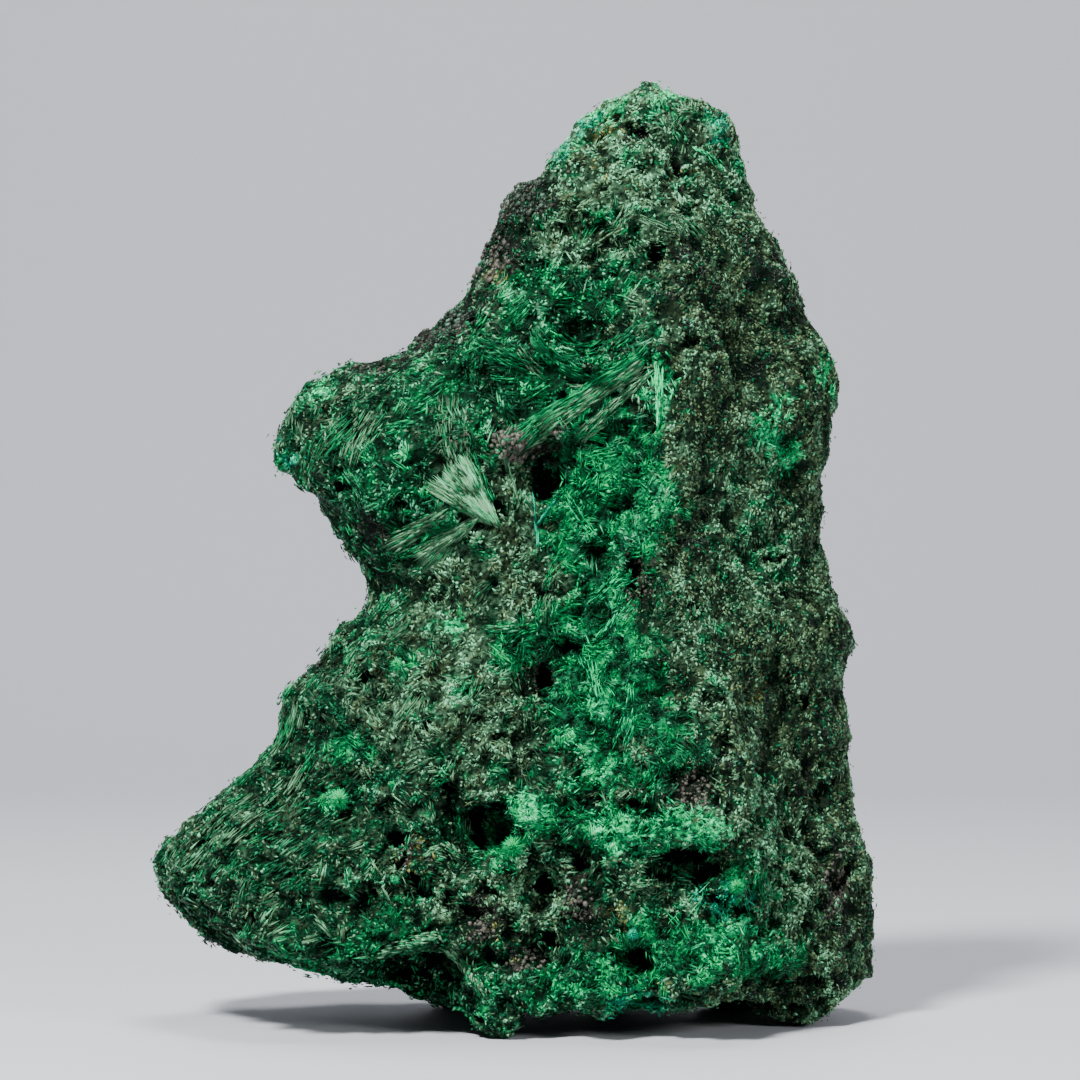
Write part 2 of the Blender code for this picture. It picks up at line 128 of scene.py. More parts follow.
# Where each kind of ground lies on the front, in millimetres:
# kind: (x, z, half width, half height, turn in degrees).
FRONT_PATCHES = {
    "green": (
        (-4.0, 64.5, 9.0, 3.6, 22), (3.5, 62.0, 9.0, 5.0, 20), (5.0, 73.0, 7.0, 5.0, 0),
        (-12.0, 52.5, 6.0, 6.0, 0), (-20.0, 8.0, 8.0, 3.0, -20), (-12.0, 10.0, 5.0, 2.4, 0),
        (3.0, 5.6, 8.0, 2.6, 0), (-7.0, 3.6, 6.0, 1.8, -12),
    ),
    "pale": (
        (10.5, 82.0, 8.0, 6.0, 0), (8.0, 87.4, 5.4, 5.0, 0), (16.0, 88.6, 4.6, 4.0, 0),
        (7.0, 77.0, 6.0, 3.0, 20), (-6.5, 37.5, 5.0, 5.0, 0), (-8.0, 32.5, 8.5, 5.5, 0),
        (-2.5, 30.0, 5.5, 6.0, 0), (-20.5, 58.0, 1.0, 1.5, 0), (2.0, 43.0, 5.0, 3.6, 10),
        (11.5, 28.5, 3.0, 2.4, 0), (-1.0, 50.0, 3.5, 6.0, 0), (-4.6, 45.0, 4.4, 3.0, 0),
        (12.6, 62.4, 1.8, 2.6, 30),
    ),
    "frosted": (
        (10.5, 84.5, 8.0, 8.0, 0),
    ),
    "vivid": (
        (8.4, 49.5, 5.4, 10.0, 0), (4.8, 38.5, 7.0, 6.0, 0), (8.0, 33.5, 6.5, 6.0, 0),
        (11.6, 29.5, 5.6, 5.0, 0), (9.5, 57.5, 5.0, 4.0, 30), (12.4, 52.4, 3.4, 5.0, 0),
        (7.6, 5.2, 3.6, 1.6, 0), (23.5, 7.6, 6.2, 2.2, 0), (15.0, 8.6, 6.0, 3.0, 0),
        (9.5, 7.0, 3.0, 2.0, 0), (-0.8, 18.6, 1.8, 2.0, 0), (22.4, 15.6, 2.6, 2.2, 0),
        (-16.0, 29.0, 2.6, 2.2, 0), (-10.6, 36.8, 1.3, 1.2, 0), (9.6, 80.0, 2.6, 1.8, 0),
        (-12.4, 11.6, 1.4, 2.4, 0), (4.6, 21.4, 6.6, 1.8, -6), (13.6, 20.6, 7.4, 2.1, 0),
    ),
    "mint": (
        (1.8, 22.7, 1.8, 0.9, -30), (11.2, 20.4, 1.7, 2.2, 0), (14.6, 21.4, 2.6, 1.2, 0),
        (19.2, 20.2, 2.6, 1.4, -20), (8.6, 20.8, 2.4, 1.2, -20), (21.0, 10.6, 2.6, 1.3, 10),
        (8.6, 26.0, 4.0, 1.6, 30), (9.4, 90.8, 1.8, 0.7, 20), (15.0, 91.6, 1.6, 0.6, -8),
        (14.4, 63.6, 1.0, 2.8, 0), (26.2, 57.8, 3.2, 1.1, -48), (27.0, 62.0, 1.2, 0.8, 0),
        (-19.1, 62.2, 0.7, 1.2, -20), (-17.6, 23.6, 1.3, 1.2, 0), (31.0, 65.0, 0.8, 1.4, 0),
        (24.0, 8.6, 2.6, 0.8, 0), (9.0, 32.0, 2.0, 2.0, 0), (-6.0, 40.0, 1.4, 1.0, 0),
    ),
    "dark_drusy": (
        (23.0, 72.0, 4.6, 8.0, 0), (27.5, 27.0, 2.2, 4.5, 0),
    ),
    "teal": (
        (11.8, 3.6, 3.4, 1.0, 0), (8.2, 89.6, 1.0, 0.8, 0), (5.0, 87.0, 0.9, 1.1, 0),
        (20.4, 89.6, 1.0, 1.8, 0), (22.0, 13.6, 3.4, 1.4, 0), (-22.8, 55.6, 1.0, 1.4, 0),
    ),
    "wing": (
        (-27.0, 17.0, 9.0, 5.6, 30), (-21.0, 21.0, 8.0, 4.4, 36), (-27.0, 11.0, 7.0, 3.0, -20),
    ),
    "brown": (
        (17.2, 24.2, 2.4, 1.7, -8), (32.0, 14.2, 1.2, 3.8, 0), (12.0, 44.6, 1.2, 2.4, 0),
        (2.1, 34.8, 1.1, 1.8, 0), (2.4, 58.0, 2.8, 1.8, 10), (6.6, 13.2, 1.4, 2.4, 0),
        (-3.4, 11.4, 1.8, 2.2, 0), (1.4, 7.8, 2.2, 1.2, 0),
    ),
    "lumps": (
        (0.8, 82.4, 3.2, 2.6, 30), (-1.8, 76.8, 2.8, 3.4, 0), (-7.0, 69.6, 4.6, 1.8, 32),
        (-13.6, 65.9, 3.0, 0.9, 0), (12.4, 88.4, 1.4, 1.2, 0), (-14.0, 49.4, 1.8, 2.0, 0),
    ),
    "rust": (
        (-1.8, 74.6, 1.4, 1.4, 0), (16.6, 84.4, 0.9, 0.8, 0), (-9.4, 18.2, 1.4, 1.0, 0),
        (-0.6, 9.8, 1.2, 0.9, 0),
    ),
    "ochre": (
        (8.8, 88.2, 1.7, 1.0, 10), (8.8, 85.4, 0.8, 0.6, 0), (-5.2, 30.4, 0.6, 0.5, 0),
        (10.4, 12.4, 0.8, 1.4, 0), (14.6, 4.8, 0.6, 0.8, 0), (23.0, 33.4, 0.7, 1.4, 0),
    ),
    "fine_drusy": (
        (1.0, 14.2, 4.8, 4.4, 0), (-6.0, 13.0, 2.4, 2.0, 0), (21.0, 84.0, 3.4, 4.0, 0),
        (24.0, 50.0, 5.0, 9.0, 0), (18.0, 36.0, 3.4, 6.0, 0), (24.6, 20.0, 4.6, 6.0, 0),
        (27.0, 12.0, 4.0, 3.6, 0),
    ),
}
# Sheaves of long needles that lie along a curved line, in millimetres:
# (start x, z, middle x, z, end x, z, half width at the start and at the end, needles, length,
#  width, degrees off the face, tone, brightness, share of needles given a painted glint, how far
#  the middle of the sheaf stands out)
SHEAVES = (
    (-1.6, 49.7, -3.7, 52.2, -6.2, 54.9, 0.45, 2.6, 1900, 2.2, 0.18, 3, "grey", 0.70, 0.08, 0.6),
    (-5.2, 55.4, -6.1, 58.4, -6.2, 62.0, 1.3, 1.7, 260, 1.5, 0.20, 6, "grey", 0.34, 0.10, 0.2),
    (-2.3, 52.6, -3.4, 54.6, -4.6, 56.6, 0.5, 0.9, 90, 1.8, 0.17, 5, "leaf", 0.36, 0.12, 0.2),
    (-3.7, 50.5, -6.2, 48.5, -8.6, 46.6, 0.35, 1.4, 560, 2.2, 0.20, 3, "grey", 0.56, 0.10, 0.5),
    (-6.9, 51, -9.3, 49.5, -11.7, 48, 0.58, 1.2, 120, 2.6, 0.28, 5, "grey", 0.42, 0.16, 0.3),
    (-13.3, 8.5, -10.3, 10.0, -7.5, 10.2, 0.40, 0.40, 190, 1.0, 0.24, 14, "grey", 0.72, 0.25, 0.5),
    (-7.4, 10.1, -5.4, 7.8, -2.4, 4.6, 0.40, 0.40, 210, 1.0, 0.24, 14, "grey", 0.68, 0.25, 0.5),
    (-8.6, 17.8, -6.6, 19.8, -5.6, 17.2, 0.30, 0.30, 120, 0.9, 0.24, 14, "grey", 0.66, 0.20, 0.4),
    (-5.7, 21.6, -5.2, 18.6, -3.4, 17.6, 0.30, 0.30, 120, 0.9, 0.24, 14, "leaf", 0.66, 0.20, 0.4),
    (-7.2, 47.4, -5.3, 47.9, -3.5, 48.7, 0.39, 0.58, 90, 2, 0.2, 4, "leaf", 0.28, 0.06, 0.2),
    (-1.6, 58.2, -0.7, 55.9, 0.2, 52.6, 0.12, 0.16, 14, 3.4, 0.22, 6, "grey", 0.5, 0.2, 0.3),
    (2.4, 47.7, 2, 50.1, 1.8, 52.4, 0.12, 0.16, 18, 2.2, 0.24, 12, "teal", 0.50, 0.1, 0.2),
    (2.4, 50.1, 3.3, 51.2, 4.2, 52.3, 0.12, 0.16, 14, 1.6, 0.22, 16, "teal", 0.48, 0.1, 0.2),
    (-16.2, 56.3, -15, 58.2, -13.6, 60.2, 0.97, 1.36, 110, 1.9, 0.2, 5, "grey", 0.42, 0.22, 0.2),
    (-21, 55.5, -18.6, 57.7, -16, 59.4, 1.17, 1.36, 120, 1.8, 0.2, 5, "leaf", 0.36, 0.2, 0.2),
    (-12.1, 54.2, -11, 54.3, -9.9, 54.3, 0.1, 0.12, 6, 2, 0.18, 8, "brown", 0.95, 0.9, 0.3),
    (2.3, 68, 7.4, 61.4, 12.8, 67.6, 0.88, 0.88, 260, 1.8, 0.18, 4, "leaf", 0.34, 0.16, 0.3),
    (0.8, 66.8, 5.6, 60.4, 12.1, 64.9, 0.68, 0.68, 210, 1.8, 0.18, 4, "grey", 0.36, 0.18, 0.3),
    (3.1, 69.3, 7.8, 64.9, 12.1, 69, 0.68, 0.68, 140, 1.6, 0.18, 5, "leaf", 0.3, 0.16, 0.2),
    (-3.7, 68, -0.1, 64.5, 4.3, 64.9, 0.97, 0.88, 150, 2, 0.2, 5, "leaf", 0.32, 0.18, 0.2),
    (12.1, 66, 7.4, 62.7, 0.8, 58.6, 0.8, 1.1, 680, 2.6, 0.2, 1, "leaf", 0.56, 0.04, 0.6),
    (12.1, 65.6, 7.6, 62.3, 1.4, 58.4, 0.6, 1.0, 480, 2.6, 0.2, 1, "grey", 0.5, 0.04, 0.6),
    (13.4, 64.9, 10.1, 61.9, 6.6, 58.6, 0.29, 0.68, 200, 2.4, 0.18, 3, "grey", 0.54, 0.2, 0.4),
    (6.4, 77.1, 6.6, 78.7, 7, 80.4, 0.19, 2.53, 40, 1.7, 0.13, 10, "leaf", 0.5, 0.4, 0),
    (17.9, 87, 19.4, 86.5, 20.9, 85.4, 0.29, 0.39, 40, 1.3, 0.18, 5, "mint", 0.62, 0.5, 0.3),
    (14.4, 59.6, 14.3, 62.5, 14.1, 65.4, 0.29, 0.49, 100, 1.6, 0.2, 6, "mint", 0.55, 0.4, 0.4),
    (-33.9, 16.8, -30.3, 19.5, -25.9, 23, 0.39, 0.88, 120, 1.8, 0.19, 3, "grey", 0.36, 0.2, 0.2),
    (-33.7, 15.6, -28.6, 18.2, -23, 22.6, 0.49, 1.07, 150, 1.8, 0.19, 3, "grey", 0.38, 0.2, 0.2),
    (-32.7, 14.3, -27.8, 16.6, -22.4, 20.7, 0.58, 1.07, 110, 1.8, 0.19, 3, "leaf", 0.36, 0.2, 0.1),
    (-30.2, 12.5, -25.3, 15, -20, 18.4, 0.58, 0.97, 120, 2, 0.2, 3, "deep", 0.44, 0.2, 0.1),
    (-27.2, 24, -24.7, 26.9, -22, 29.6, 0.49, 0.88, 150, 2.2, 0.22, 2, "leaf", 0.36, 0.2, 0.3),
    (-24.7, 25.6, -22.4, 28.5, -21, 31.4, 0.49, 0.78, 90, 2, 0.22, 3, "grey", 0.38, 0.2, 0.3),
    (-22.6, 22.6, -21.6, 24, -20.6, 25.4, 0.97, 0.97, 22, 2.2, 0.36, 12, "grey", 0.46, 0.3, 0.2),
    (-24.7, 9.6, -23.4, 10.1, -21.8, 10.6, 0.58, 0.58, 16, 2.2, 0.36, 9, "grey", 0.46, 0.3, 0.2),
    (-22.4, 8.8, -21.1, 9.3, -19.7, 9.8, 0.49, 0.49, 14, 2.2, 0.36, 9, "grey", 0.46, 0.3, 0.2),
    (-19.3, 11.9, -18.5, 11, -17.5, 9.8, 0.39, 0.39, 14, 2, 0.26, 8, "grey", 0.46, 0.3, 0.1),
    (12.1, 7.5, 16.9, 13, 18.5, 15.2, 0.39, 0.58, 20, 2.4, 0.12, 22, "mint", 0.5, 0.4, 0),
    (16.9, 10.6, 17.9, 13.5, 18.5, 15.4, 0.58, 0.58, 14, 2.2, 0.12, 22, "mint", 0.5, 0.4, 0),
    (7.2, 42.1, 9.1, 43.7, 11.3, 45.1, 0.19, 1.17, 56, 1.6, 0.16, 10, "mint", 0.44, 0.3, 0.4),
    (3.9, 38.8, 6.2, 37.6, 9.3, 37.2, 0.29, 0.97, 40, 1.6, 0.17, 10, "vivid", 0.48, 0.26, 0.2),
    (8.6, 33, 7.8, 36.1, 6.2, 38.6, 0.29, 1.17, 50, 1.6, 0.16, 10, "mint", 0.46, 0.26, 0.3),
    (11.5, 33.9, 11.7, 31.4, 10.3, 28.3, 0.39, 0.97, 60, 1.6, 0.16, 10, "mint", 0.52, 0.3, 0.3),
    (8.2, 38.8, 9.9, 40.2, 11.5, 42.1, 0.29, 0.58, 34, 1.6, 0.18, 10, "mint", 0.48, 0.3, 0.2),
    (4.9, 52.4, 7.2, 53.8, 9.3, 55.7, 0.29, 0.97, 50, 1.6, 0.16, 10, "vivid", 0.46, 0.26, 0.2),
    (8.2, 48.5, 6.6, 50.5, 5.6, 52.8, 0.29, 0.88, 40, 1.6, 0.16, 10, "mint", 0.42, 0.26, 0.2),
    (3.1, 43.7, 3.9, 46, 5.4, 47.7, 0.29, 0.88, 40, 1.6, 0.16, 10, "vivid", 0.46, 0.24, 0.2),
)
# Holes in the front: (x, z, half width, half height, depth), in millimetres.
HOLES = (
    (-2.6, 22.4, 2.7, 0.9, 3.2), (-4, 21.3, 1.5, 1.5, 3.4), (-3, 19.5, 0.8, 1.5, 3.2),
    (-6.2, 24.1, 0.7, 1.4, 2.4), (-11.5, 19.5, 1.2, 1.1, 2.4), (-9.4, 15, 0.9, 1.2, 2.4),
    (-11.6, 15.4, 0.6, 0.9, 1.6), (-13.3, 15, 0.6, 0.6, 1.2), (-10.8, 17.2, 0.7, 0.9, 1.4),
    (-7.7, 16.1, 0.6, 0.5, 1.2), (3.2, 15, 1.3, 1.1, 2.0), (6, 17.2, 0.9, 0.8, 1.6),
    (12.1, 8.2, 1.1, 1.5, 2.4), (10.6, 10.6, 1.1, 1, 2), (16.4, 18.3, 3.1, 1.1, 3),
    (14.2, 16.2, 1.5, 1.1, 1.8), (19.5, 14, 1.5, 0.9, 1.8), (22, 12.3, 1.5, 0.9, 1.8),
    (11.6, 23.5, 1.1, 0.6, 1.4), (2.8, 34.7, 1, 2, 1.8), (5.4, 37.9, 1.8, 0.9, 1.6),
    (11.9, 45.1, 0.9, 2.6, 1.8), (3.2, 54.2, 2.0, 2.2, 0.8), (10.1, 51.6, 0.7, 1.9, 1.8),
    (12.4, 54.9, 0.6, 0.7, 1.4), (7.2, 49.7, 0.8, 0.7, 1.4), (-4.5, 12.1, 1.7, 1.7, 1.1),
    (3.6, 9.6, 0.7, 0.6, 0.8), (-2.6, 8.2, 0.7, 1.4, 1.0), (19.6, 33, 1.8, 1.2, 1.0),
    (26.9, 34.9, 0.5, 1.2, 1.4),
    (28.6, 32.4, 1.1, 0.9, 1.2), (20.6, 28.9, 0.6, 1.9, 1.2), (12.5, 88.6, 1.3, 1, 0.6),
    (16.2, 84.4, 0.7, 0.6, 1), (17.1, 80.8, 1.5, 0.9, 0.8), (14, 76, 1.1, 1.3, 0.9),
    (16.9, 68, 1, 1.1, 1.0), (9.3, 67.2, 1.3, 0.4, 1), (6.7, 79.1, 2.5, 1.2, 0.9),
    (-3.7, 69.7, 1.1, 0.9, 1.2), (-16.6, 53.6, 1.3, 0.8, 1.6), (-14.6, 34.9, 0.7, 1.3, 1.2),
    (-20.1, 26.1, 1, 1, 1.6), (-16.2, 22.6, 0.7, 0.7, 1.3), (-25.9, 11.4, 1.3, 1.2, 1.3),
    (-30.6, 19.2, 0.9, 0.5, 1.5), (-29.4, 19.8, 1, 0.5, 1.5), (-5, 31.5, 0.6, 0.5, 0.9),
    (-8.2, 7.5, 1.3, 1, 2), (23, 5.9, 4.6, 0.5, 1.6), (-11.3, 51.8, 1.1, 0.7, 1.2),
    (-1.1, 51.9, 0.7, 1.3, 1.4), (8.2, 23.2, 0.9, 0.6, 1.2), (-2.7, 14.7, 0.9, 0.8, 1.2),
    (25.7, 46.6, 0.9, 0.6, 1.1), (17.9, 41.7, 0.8, 0.7, 1), (-8.4, 30.4, 0.7, 1, 1),
    (-1.6, 29.1, 1, 0.6, 1),
)
# The specimen's outline from the front, at the depth of its middle, from the foot up the left
# side, over the top and down the right side: x, z in millimetres.
OUTLINE = (
    (-1.4, -1.8), (-3.4, -0.8), (-5.4, 0.2), (-7.4, 1.6), (-9.4, 1.9), (-11.4, 3.2), (-14.9, 3.7),
    (-17.4, 4.0), (-21.4, 5.5), (-27.6, 6.6), (-30.9, 8.4), (-34.2, 11.0), (-35.1, 12.5),
    (-35.6, 14.7), (-36.2, 16.0), (-36.1, 17.0), (-33.9, 19.0), (-25.2, 26.5), (-23.2, 29.2),
    (-23.3, 32.2), (-22.4, 33.7), (-20.4, 35.2), (-18.6, 36.4), (-18.5, 38.2), (-17.7, 39.6),
    (-16.4, 39.0), (-15.2, 41.2), (-14.5, 43.4), (-14.7, 45.2), (-15.6, 46.3), (-16.9, 47.0),
    (-17.9, 49.7), (-20.2, 53.0), (-21.9, 54.2), (-23.5, 55.2), (-24.1, 57.7), (-22.7, 60.4),
    (-21.4, 62.9), (-18.9, 64.7), (-15.4, 66.2), (-11.6, 66.2), (-9.4, 68.4), (-4.7, 72.2),
    (-4.0, 74.2), (-2.4, 77.9), (-1.7, 80.0), (-0.9, 82.2), (0.8, 83.6), (3.2, 85.0), (4.2, 87.0),
    (5.6, 89.2), (7.6, 91.0), (10.6, 92.3), (11.8, 93.3), (13.1, 93.7), (14.6, 93.2), (17.6, 92.3),
    (20.4, 91.4), (21.6, 90.0), (22.4, 88.0), (23.2, 84.4), (24.4, 80.7), (26.9, 76.2), (28.3, 74.2),
    (28.7, 71.7), (30.8, 68.0), (32.1, 65.4), (32.6, 62.4), (31.6, 60.4), (31.3, 57.2), (30.6, 54.6),
    (30.8, 47.0), (33.1, 40.4), (33.9, 38.4), (33.3, 36.0), (32.6, 33.4), (33.5, 30.0), (33.4, 27.2),
    (33.9, 24.7), (33.6, 21.7), (34.8, 19.2), (36.0, 13.7), (35.8, 10.7), (36.1, 8.4), (35.7, 6.0),
    (35.4, 4.2),
)
# The lower edge of its front, seen the same way.
UNDERSIDE = (
    (-36.2, 15.0), (-35.1, 12.5), (-34.2, 11.0), (-30.9, 8.4), (-27.6, 6.6), (-21.4, 5.5), (-17.4, 4.0),
    (-11.4, 3.2), (-9.4, 1.9), (-7.4, 1.6), (-5.4, 0.2), (-3.4, -0.8), (-1.4, -1.8), (-0.2, -1.6),
    (0.4, -0.2), (0.8, 1.2), (2.6, 0.6), (4.6, 1.1), (7.1, 1.0), (8.8, 0.2), (10.4, 1.2), (18.6, 1.2),
    (24.6, 0.8), (27.1, 0.2), (29.3, -0.3), (30.6, 0.2), (32.6, 2.1), (35.4, 4.2),
)
# Lips that overhang a hollow: (points x, z along the lip, depth of the hollow below it).
LIPS = (
    (((-16.0, 7.4), (-14.6, 8.0), (-10.8, 9.0), (-7.4, 8.9), (-6.9, 7.6), (-5.9, 6.3),
      (-4.4, 5.3), (-2.9, 4.3)), 2.4),
)
# Knobbly nodules, in clusters: (x, z, half width, half height, nodules, size, tone, brightness)
NODULES = (
    (0.0, 57.8, 2.4, 1.5, 190, 0.58, "brown", 0.50), (4.0, 59.3, 0.8, 0.8, 26, 0.54, "brown", 0.66),
    (-5.0, 58.6, 1.2, 0.9, 14, 0.44, "brown", 0.40), (1.4, 7.6, 2.0, 1.0, 34, 0.50, "brown", 0.42),
    (0.6, 82.4, 2.6, 2.6, 120, 0.56, "black", 0.50), (-2.2, 76.6, 2.2, 3.0, 100, 0.56, "brown", 0.34),
    (-2.0, 74.4, 1.1, 1.0, 20, 0.50, "ochre", 0.30), (-7.4, 69.2, 4.2, 1.8, 80, 0.54, "black", 0.60),
    (-13.4, 65.6, 2.2, 1.0, 40, 0.50, "brown", 0.32), (17.4, 24.0, 2.2, 1.5, 60, 0.42, "brown", 0.36),
    (-20.4, 36.0, 1.6, 1.6, 30, 0.54, "black", 0.50), (6.4, 13.2, 1.3, 2.0, 26, 0.46, "brown", 0.40),
    (32.0, 14.4, 1.2, 3.6, 36, 0.46, "brown", 0.34), (12.2, 44.4, 1.0, 2.2, 30, 0.44, "brown", 0.36),
    (-3.2, 10.4, 1.2, 1.0, 22, 0.50, "brown", 0.55),
)
# Small balls of needles that stand on the front: (x, z, radius, needles, tone, brightness).
BALLS = (
    (-17.6, 23.8, 1.15, 320, "vivid", 0.66), (-10.6, 36.9, 0.80, 200, "vivid", 0.70),
    (-12.6, 25.4, 0.50, 110, "vivid", 0.62), (-0.9, 19.1, 1.30, 340, "vivid", 0.52),
    (22.2, 16.0, 0.95, 220, "vivid", 0.60), (11.6, 10.6, 0.70, 160, "teal", 0.60),
    (-11.4, 14.8, 0.60, 120, "mint", 0.50), (5.4, 25.0, 0.55, 110, "mint", 0.50),
)

GROUND_SEED = 5
WING_HEADING = np.array([math.cos(math.radians(32)), 0.0, math.sin(math.radians(32))])
TUFT_NEEDLES = 16
STREAK_KNOTS = 24
# Painted shade darkens the hollows over about this depth.
PAINTED_SHADE_DEPTH = 0.8 * MM
# Brightness of the darkest and the brightest crystals, and how much the rear's are lifted.
DARKEST, BRIGHTEST = 0.02, 0.97
REAR_LIFT = 1.3
# Rounds of smoothing that leave only the crust's broad form, and its form nearby.
BROAD_ROUNDS = 45
NEAR_ROUNDS = 7
# The named sheaves start this far above the floor.
FOOT_CLEAR = 2 * MM
# How far inside the outline a vertex still moves with it, how far past the outline the skin is
# taken before it sinks, and the length of outline that is fitted as one.
OUTLINE_FADE = 5 * MM
OUTLINE_EXCESS = 0.2 * MM
OUTLINE_STEP = 1.3 * MM
# Walls thicker than this count as solid.
THICK_WALL = 8 * MM
# How far one crystal's own colours lie apart on the tone map, and the gaps in the crust's map.
UV_SIDESTEP = 0.006
ATLAS_GAP = 0.01
# The shine of every mineral surface, and its darkest colour between needles and in the crust, which dark
# crystals and painted shade fall towards.
GREEN_SHINE = (0.45, 1.0, 0.70, 1.0)
NEEDLE_DARK = (0.0005, 0.002, 0.001, 1.0)
CRUST_DARK = (0.0005, 0.0025, 0.001, 1.0)


class CrustSettings(bpy.types.PropertyGroup):
    voxel: FloatProperty(
        name="Grain", description="Size of the crust's smallest facets", default=0.52 * MM,
        min=0.3 * MM, unit="LENGTH")
    sunk: FloatProperty(
        name="Sunk", description="How far the crust lies under the crystals' tips",
        default=0.20 * MM, unit="LENGTH")
    rough: FloatProperty(
        name="Roughness", description="Height of the crust's own bumps", default=0.34 * MM,
        unit="LENGTH")
    pits: IntProperty(name="Pits", description="Small pits all over the crust", default=2200, min=0)
    lumps: IntProperty(name="Lumps", description="Small lumps all over the crust", default=2400, min=0)
    cells: IntProperty(name="Cells", description="Hollow cells with thin walls", default=1500, min=10)


class NeedleSettings(bpy.types.PropertyGroup):
    felt: IntProperty(name="Front needles", description="Bundled needles on the front",
                      default=9000, min=100)
    grains: IntProperty(name="Front grains", description="Stubby crystals on the front",
                        default=31000, min=100)
    bright: IntProperty(name="Bright crystals", description="Needles and grains of the vivid ground",
                        default=24000, min=100)
    sheaves: IntProperty(name="Loose sheaves", description="Short sheaves laid over the front",
                         default=90, min=0)
    drusy: IntProperty(name="Drusy grains", description="Short crystals of the right-hand plane",
                       default=29000, min=100)
    rear: IntProperty(name="Rear crystals", description="Crystals of the back, sides and underside",
                      default=26000, min=100)
    seed: IntProperty(name="Seed", description="Start of the random draws", default=11)


class ToneSettings(bpy.types.PropertyGroup):
    black: FloatVectorProperty(name="Black", description="Manganese-black crust", subtype="COLOR",
                               default=(0.028, 0.034, 0.026))
    deep: FloatVectorProperty(name="Deep", description="Deep green needles", subtype="COLOR",
                              default=(0.008, 0.110, 0.044))
    olive: FloatVectorProperty(name="Olive", description="Olive drusy grains", subtype="COLOR",
                               default=(0.090, 0.155, 0.072))
    grey: FloatVectorProperty(name="Grey", description="Grey-green silky needles", subtype="COLOR",
                              default=(0.110, 0.260, 0.135))
    leaf: FloatVectorProperty(name="Leaf", description="Leaf-green needles", subtype="COLOR",
                              default=(0.010, 0.205, 0.070))
    vivid: FloatVectorProperty(name="Vivid", description="Vivid green needles", subtype="COLOR",
                               default=(0.000, 0.335, 0.092))
    mint: FloatVectorProperty(name="Mint", description="Pale mint needles", subtype="COLOR",
                              default=(0.018, 0.540, 0.190))
    teal: FloatVectorProperty(name="Teal", description="Teal needles", subtype="COLOR",
                              default=(0.000, 0.360, 0.190))
    ochre: FloatVectorProperty(name="Ochre", description="Iron-stained ochre", subtype="COLOR",
                               default=(0.180, 0.200, 0.055))
    brown: FloatVectorProperty(name="Brown", description="Brown iron crust", subtype="COLOR",
                               default=(0.092, 0.080, 0.068))
    # Painted highlight: the colour that the brightest crystals blend towards.
    highlight: FloatVectorProperty(name="Highlight", description="Colour of the palest needles",
                                   subtype="COLOR", default=(0.240, 0.800, 0.460))


class StageSettings(bpy.types.PropertyGroup):
    distance: FloatProperty(name="Camera distance", description="From the camera to the specimen",
                            default=0.55, unit="LENGTH")
    height: FloatProperty(name="Camera height", description="Above the floor", default=0.060,
                          unit="LENGTH")
    view_width: FloatProperty(name="View width", description="Width seen at the specimen",
                              default=0.108, unit="LENGTH")
    floor: FloatVectorProperty(name="Floor", description="Colour of the floor and backdrop",
                               subtype="COLOR", default=(0.40, 0.41, 0.44))


# ---------------------------------------------------------------- numbers and meshes


def smooth_step(value, low, high):
    t = np.clip((value - low) / (high - low), 0, 1)
    return t * t * (3 - 2 * t)


def unit(vectors):
    return vectors / np.maximum(np.linalg.norm(vectors, axis=-1, keepdims=True), 1e-12)


LATTICE = 64


def clouds(points, size, seed):
    """Smooth random values from -1 to 1 that change over about this size (points in metres)."""
    table = np.random.default_rng(seed).uniform(-1, 1, (LATTICE,) * 3)
    place = points / size + seed * 3.7
    low = np.floor(place).astype(int)
    part = place - low
    part = part * part * (3 - 2 * part)
    total = np.zeros(len(points))
    for corner in range(8):
        step = np.array([corner & 1, corner >> 1 & 1, corner >> 2])
        at = (low + step) % LATTICE
        share = np.where(step, part, 1 - part).prod(axis=1)
        total += share * table[at[:, 0], at[:, 1], at[:, 2]]
    return total


def layered(points, *layers, start=0.0):
    """Clouds laid over each other, each (height, size in millimetres, seed), added to start."""
    total = start
    for height, size, seed in layers:
        total = total + height * clouds(points, size * MM, seed)
    return total


def read(items, key, kind, width=1):
    """One property of these mesh elements, as an array with a row for each."""
    values = np.empty(len(items) * width, kind)
    items.foreach_get(key, values)
    return values.reshape(-1, width) if width > 1 else values


def read_points(mesh):
    return read(mesh.vertices, "co", np.float32, 3).astype(float)


def read_triangles(mesh):
    mesh.calc_loop_triangles()
    return read(mesh.loop_triangles, "vertices", np.int32, 3)


def read_edges(mesh):
    return read(mesh.edges, "vertices", np.int32, 2)


def averaged(values, edges, times):
    """Each vertex's value moved towards its neighbours' mean, this many times."""
    count = len(values)
    ends = np.concatenate([edges[:, 0], edges[:, 1]])
    others = np.concatenate([edges[:, 1], edges[:, 0]])
    degree = np.maximum(np.bincount(ends, minlength=count), 1)[:, None]
    for _ in range(times):
        total = np.stack(
            [np.bincount(ends, column[others], minlength=count) for column in values.T], axis=1)
        values = 0.4 * values + 0.6 * total / degree
    return values


def face_normals(points, triangles):
    """Each triangle's normal, with a length of twice its area."""
    a, b, c = (points[triangles[:, k]] for k in range(3))
    return np.cross(b - a, c - a)


def vertex_normals(points, triangles):
    faces = face_normals(points, triangles)
    total = np.zeros_like(points)
    for k in range(3):
        for axis in range(3):
            total[:, axis] += np.bincount(triangles[:, k], faces[:, axis], minlength=len(points))
    return unit(total)


def only_select(obj):
    bpy.ops.object.select_all(action="DESELECT")
    obj.select_set(True)
    bpy.context.view_layer.objects.active = obj


def apply_modifiers(obj):
    only_select(obj)
    for modifier in list(obj.modifiers):
        bpy.ops.object.modifier_apply(modifier=modifier.name)


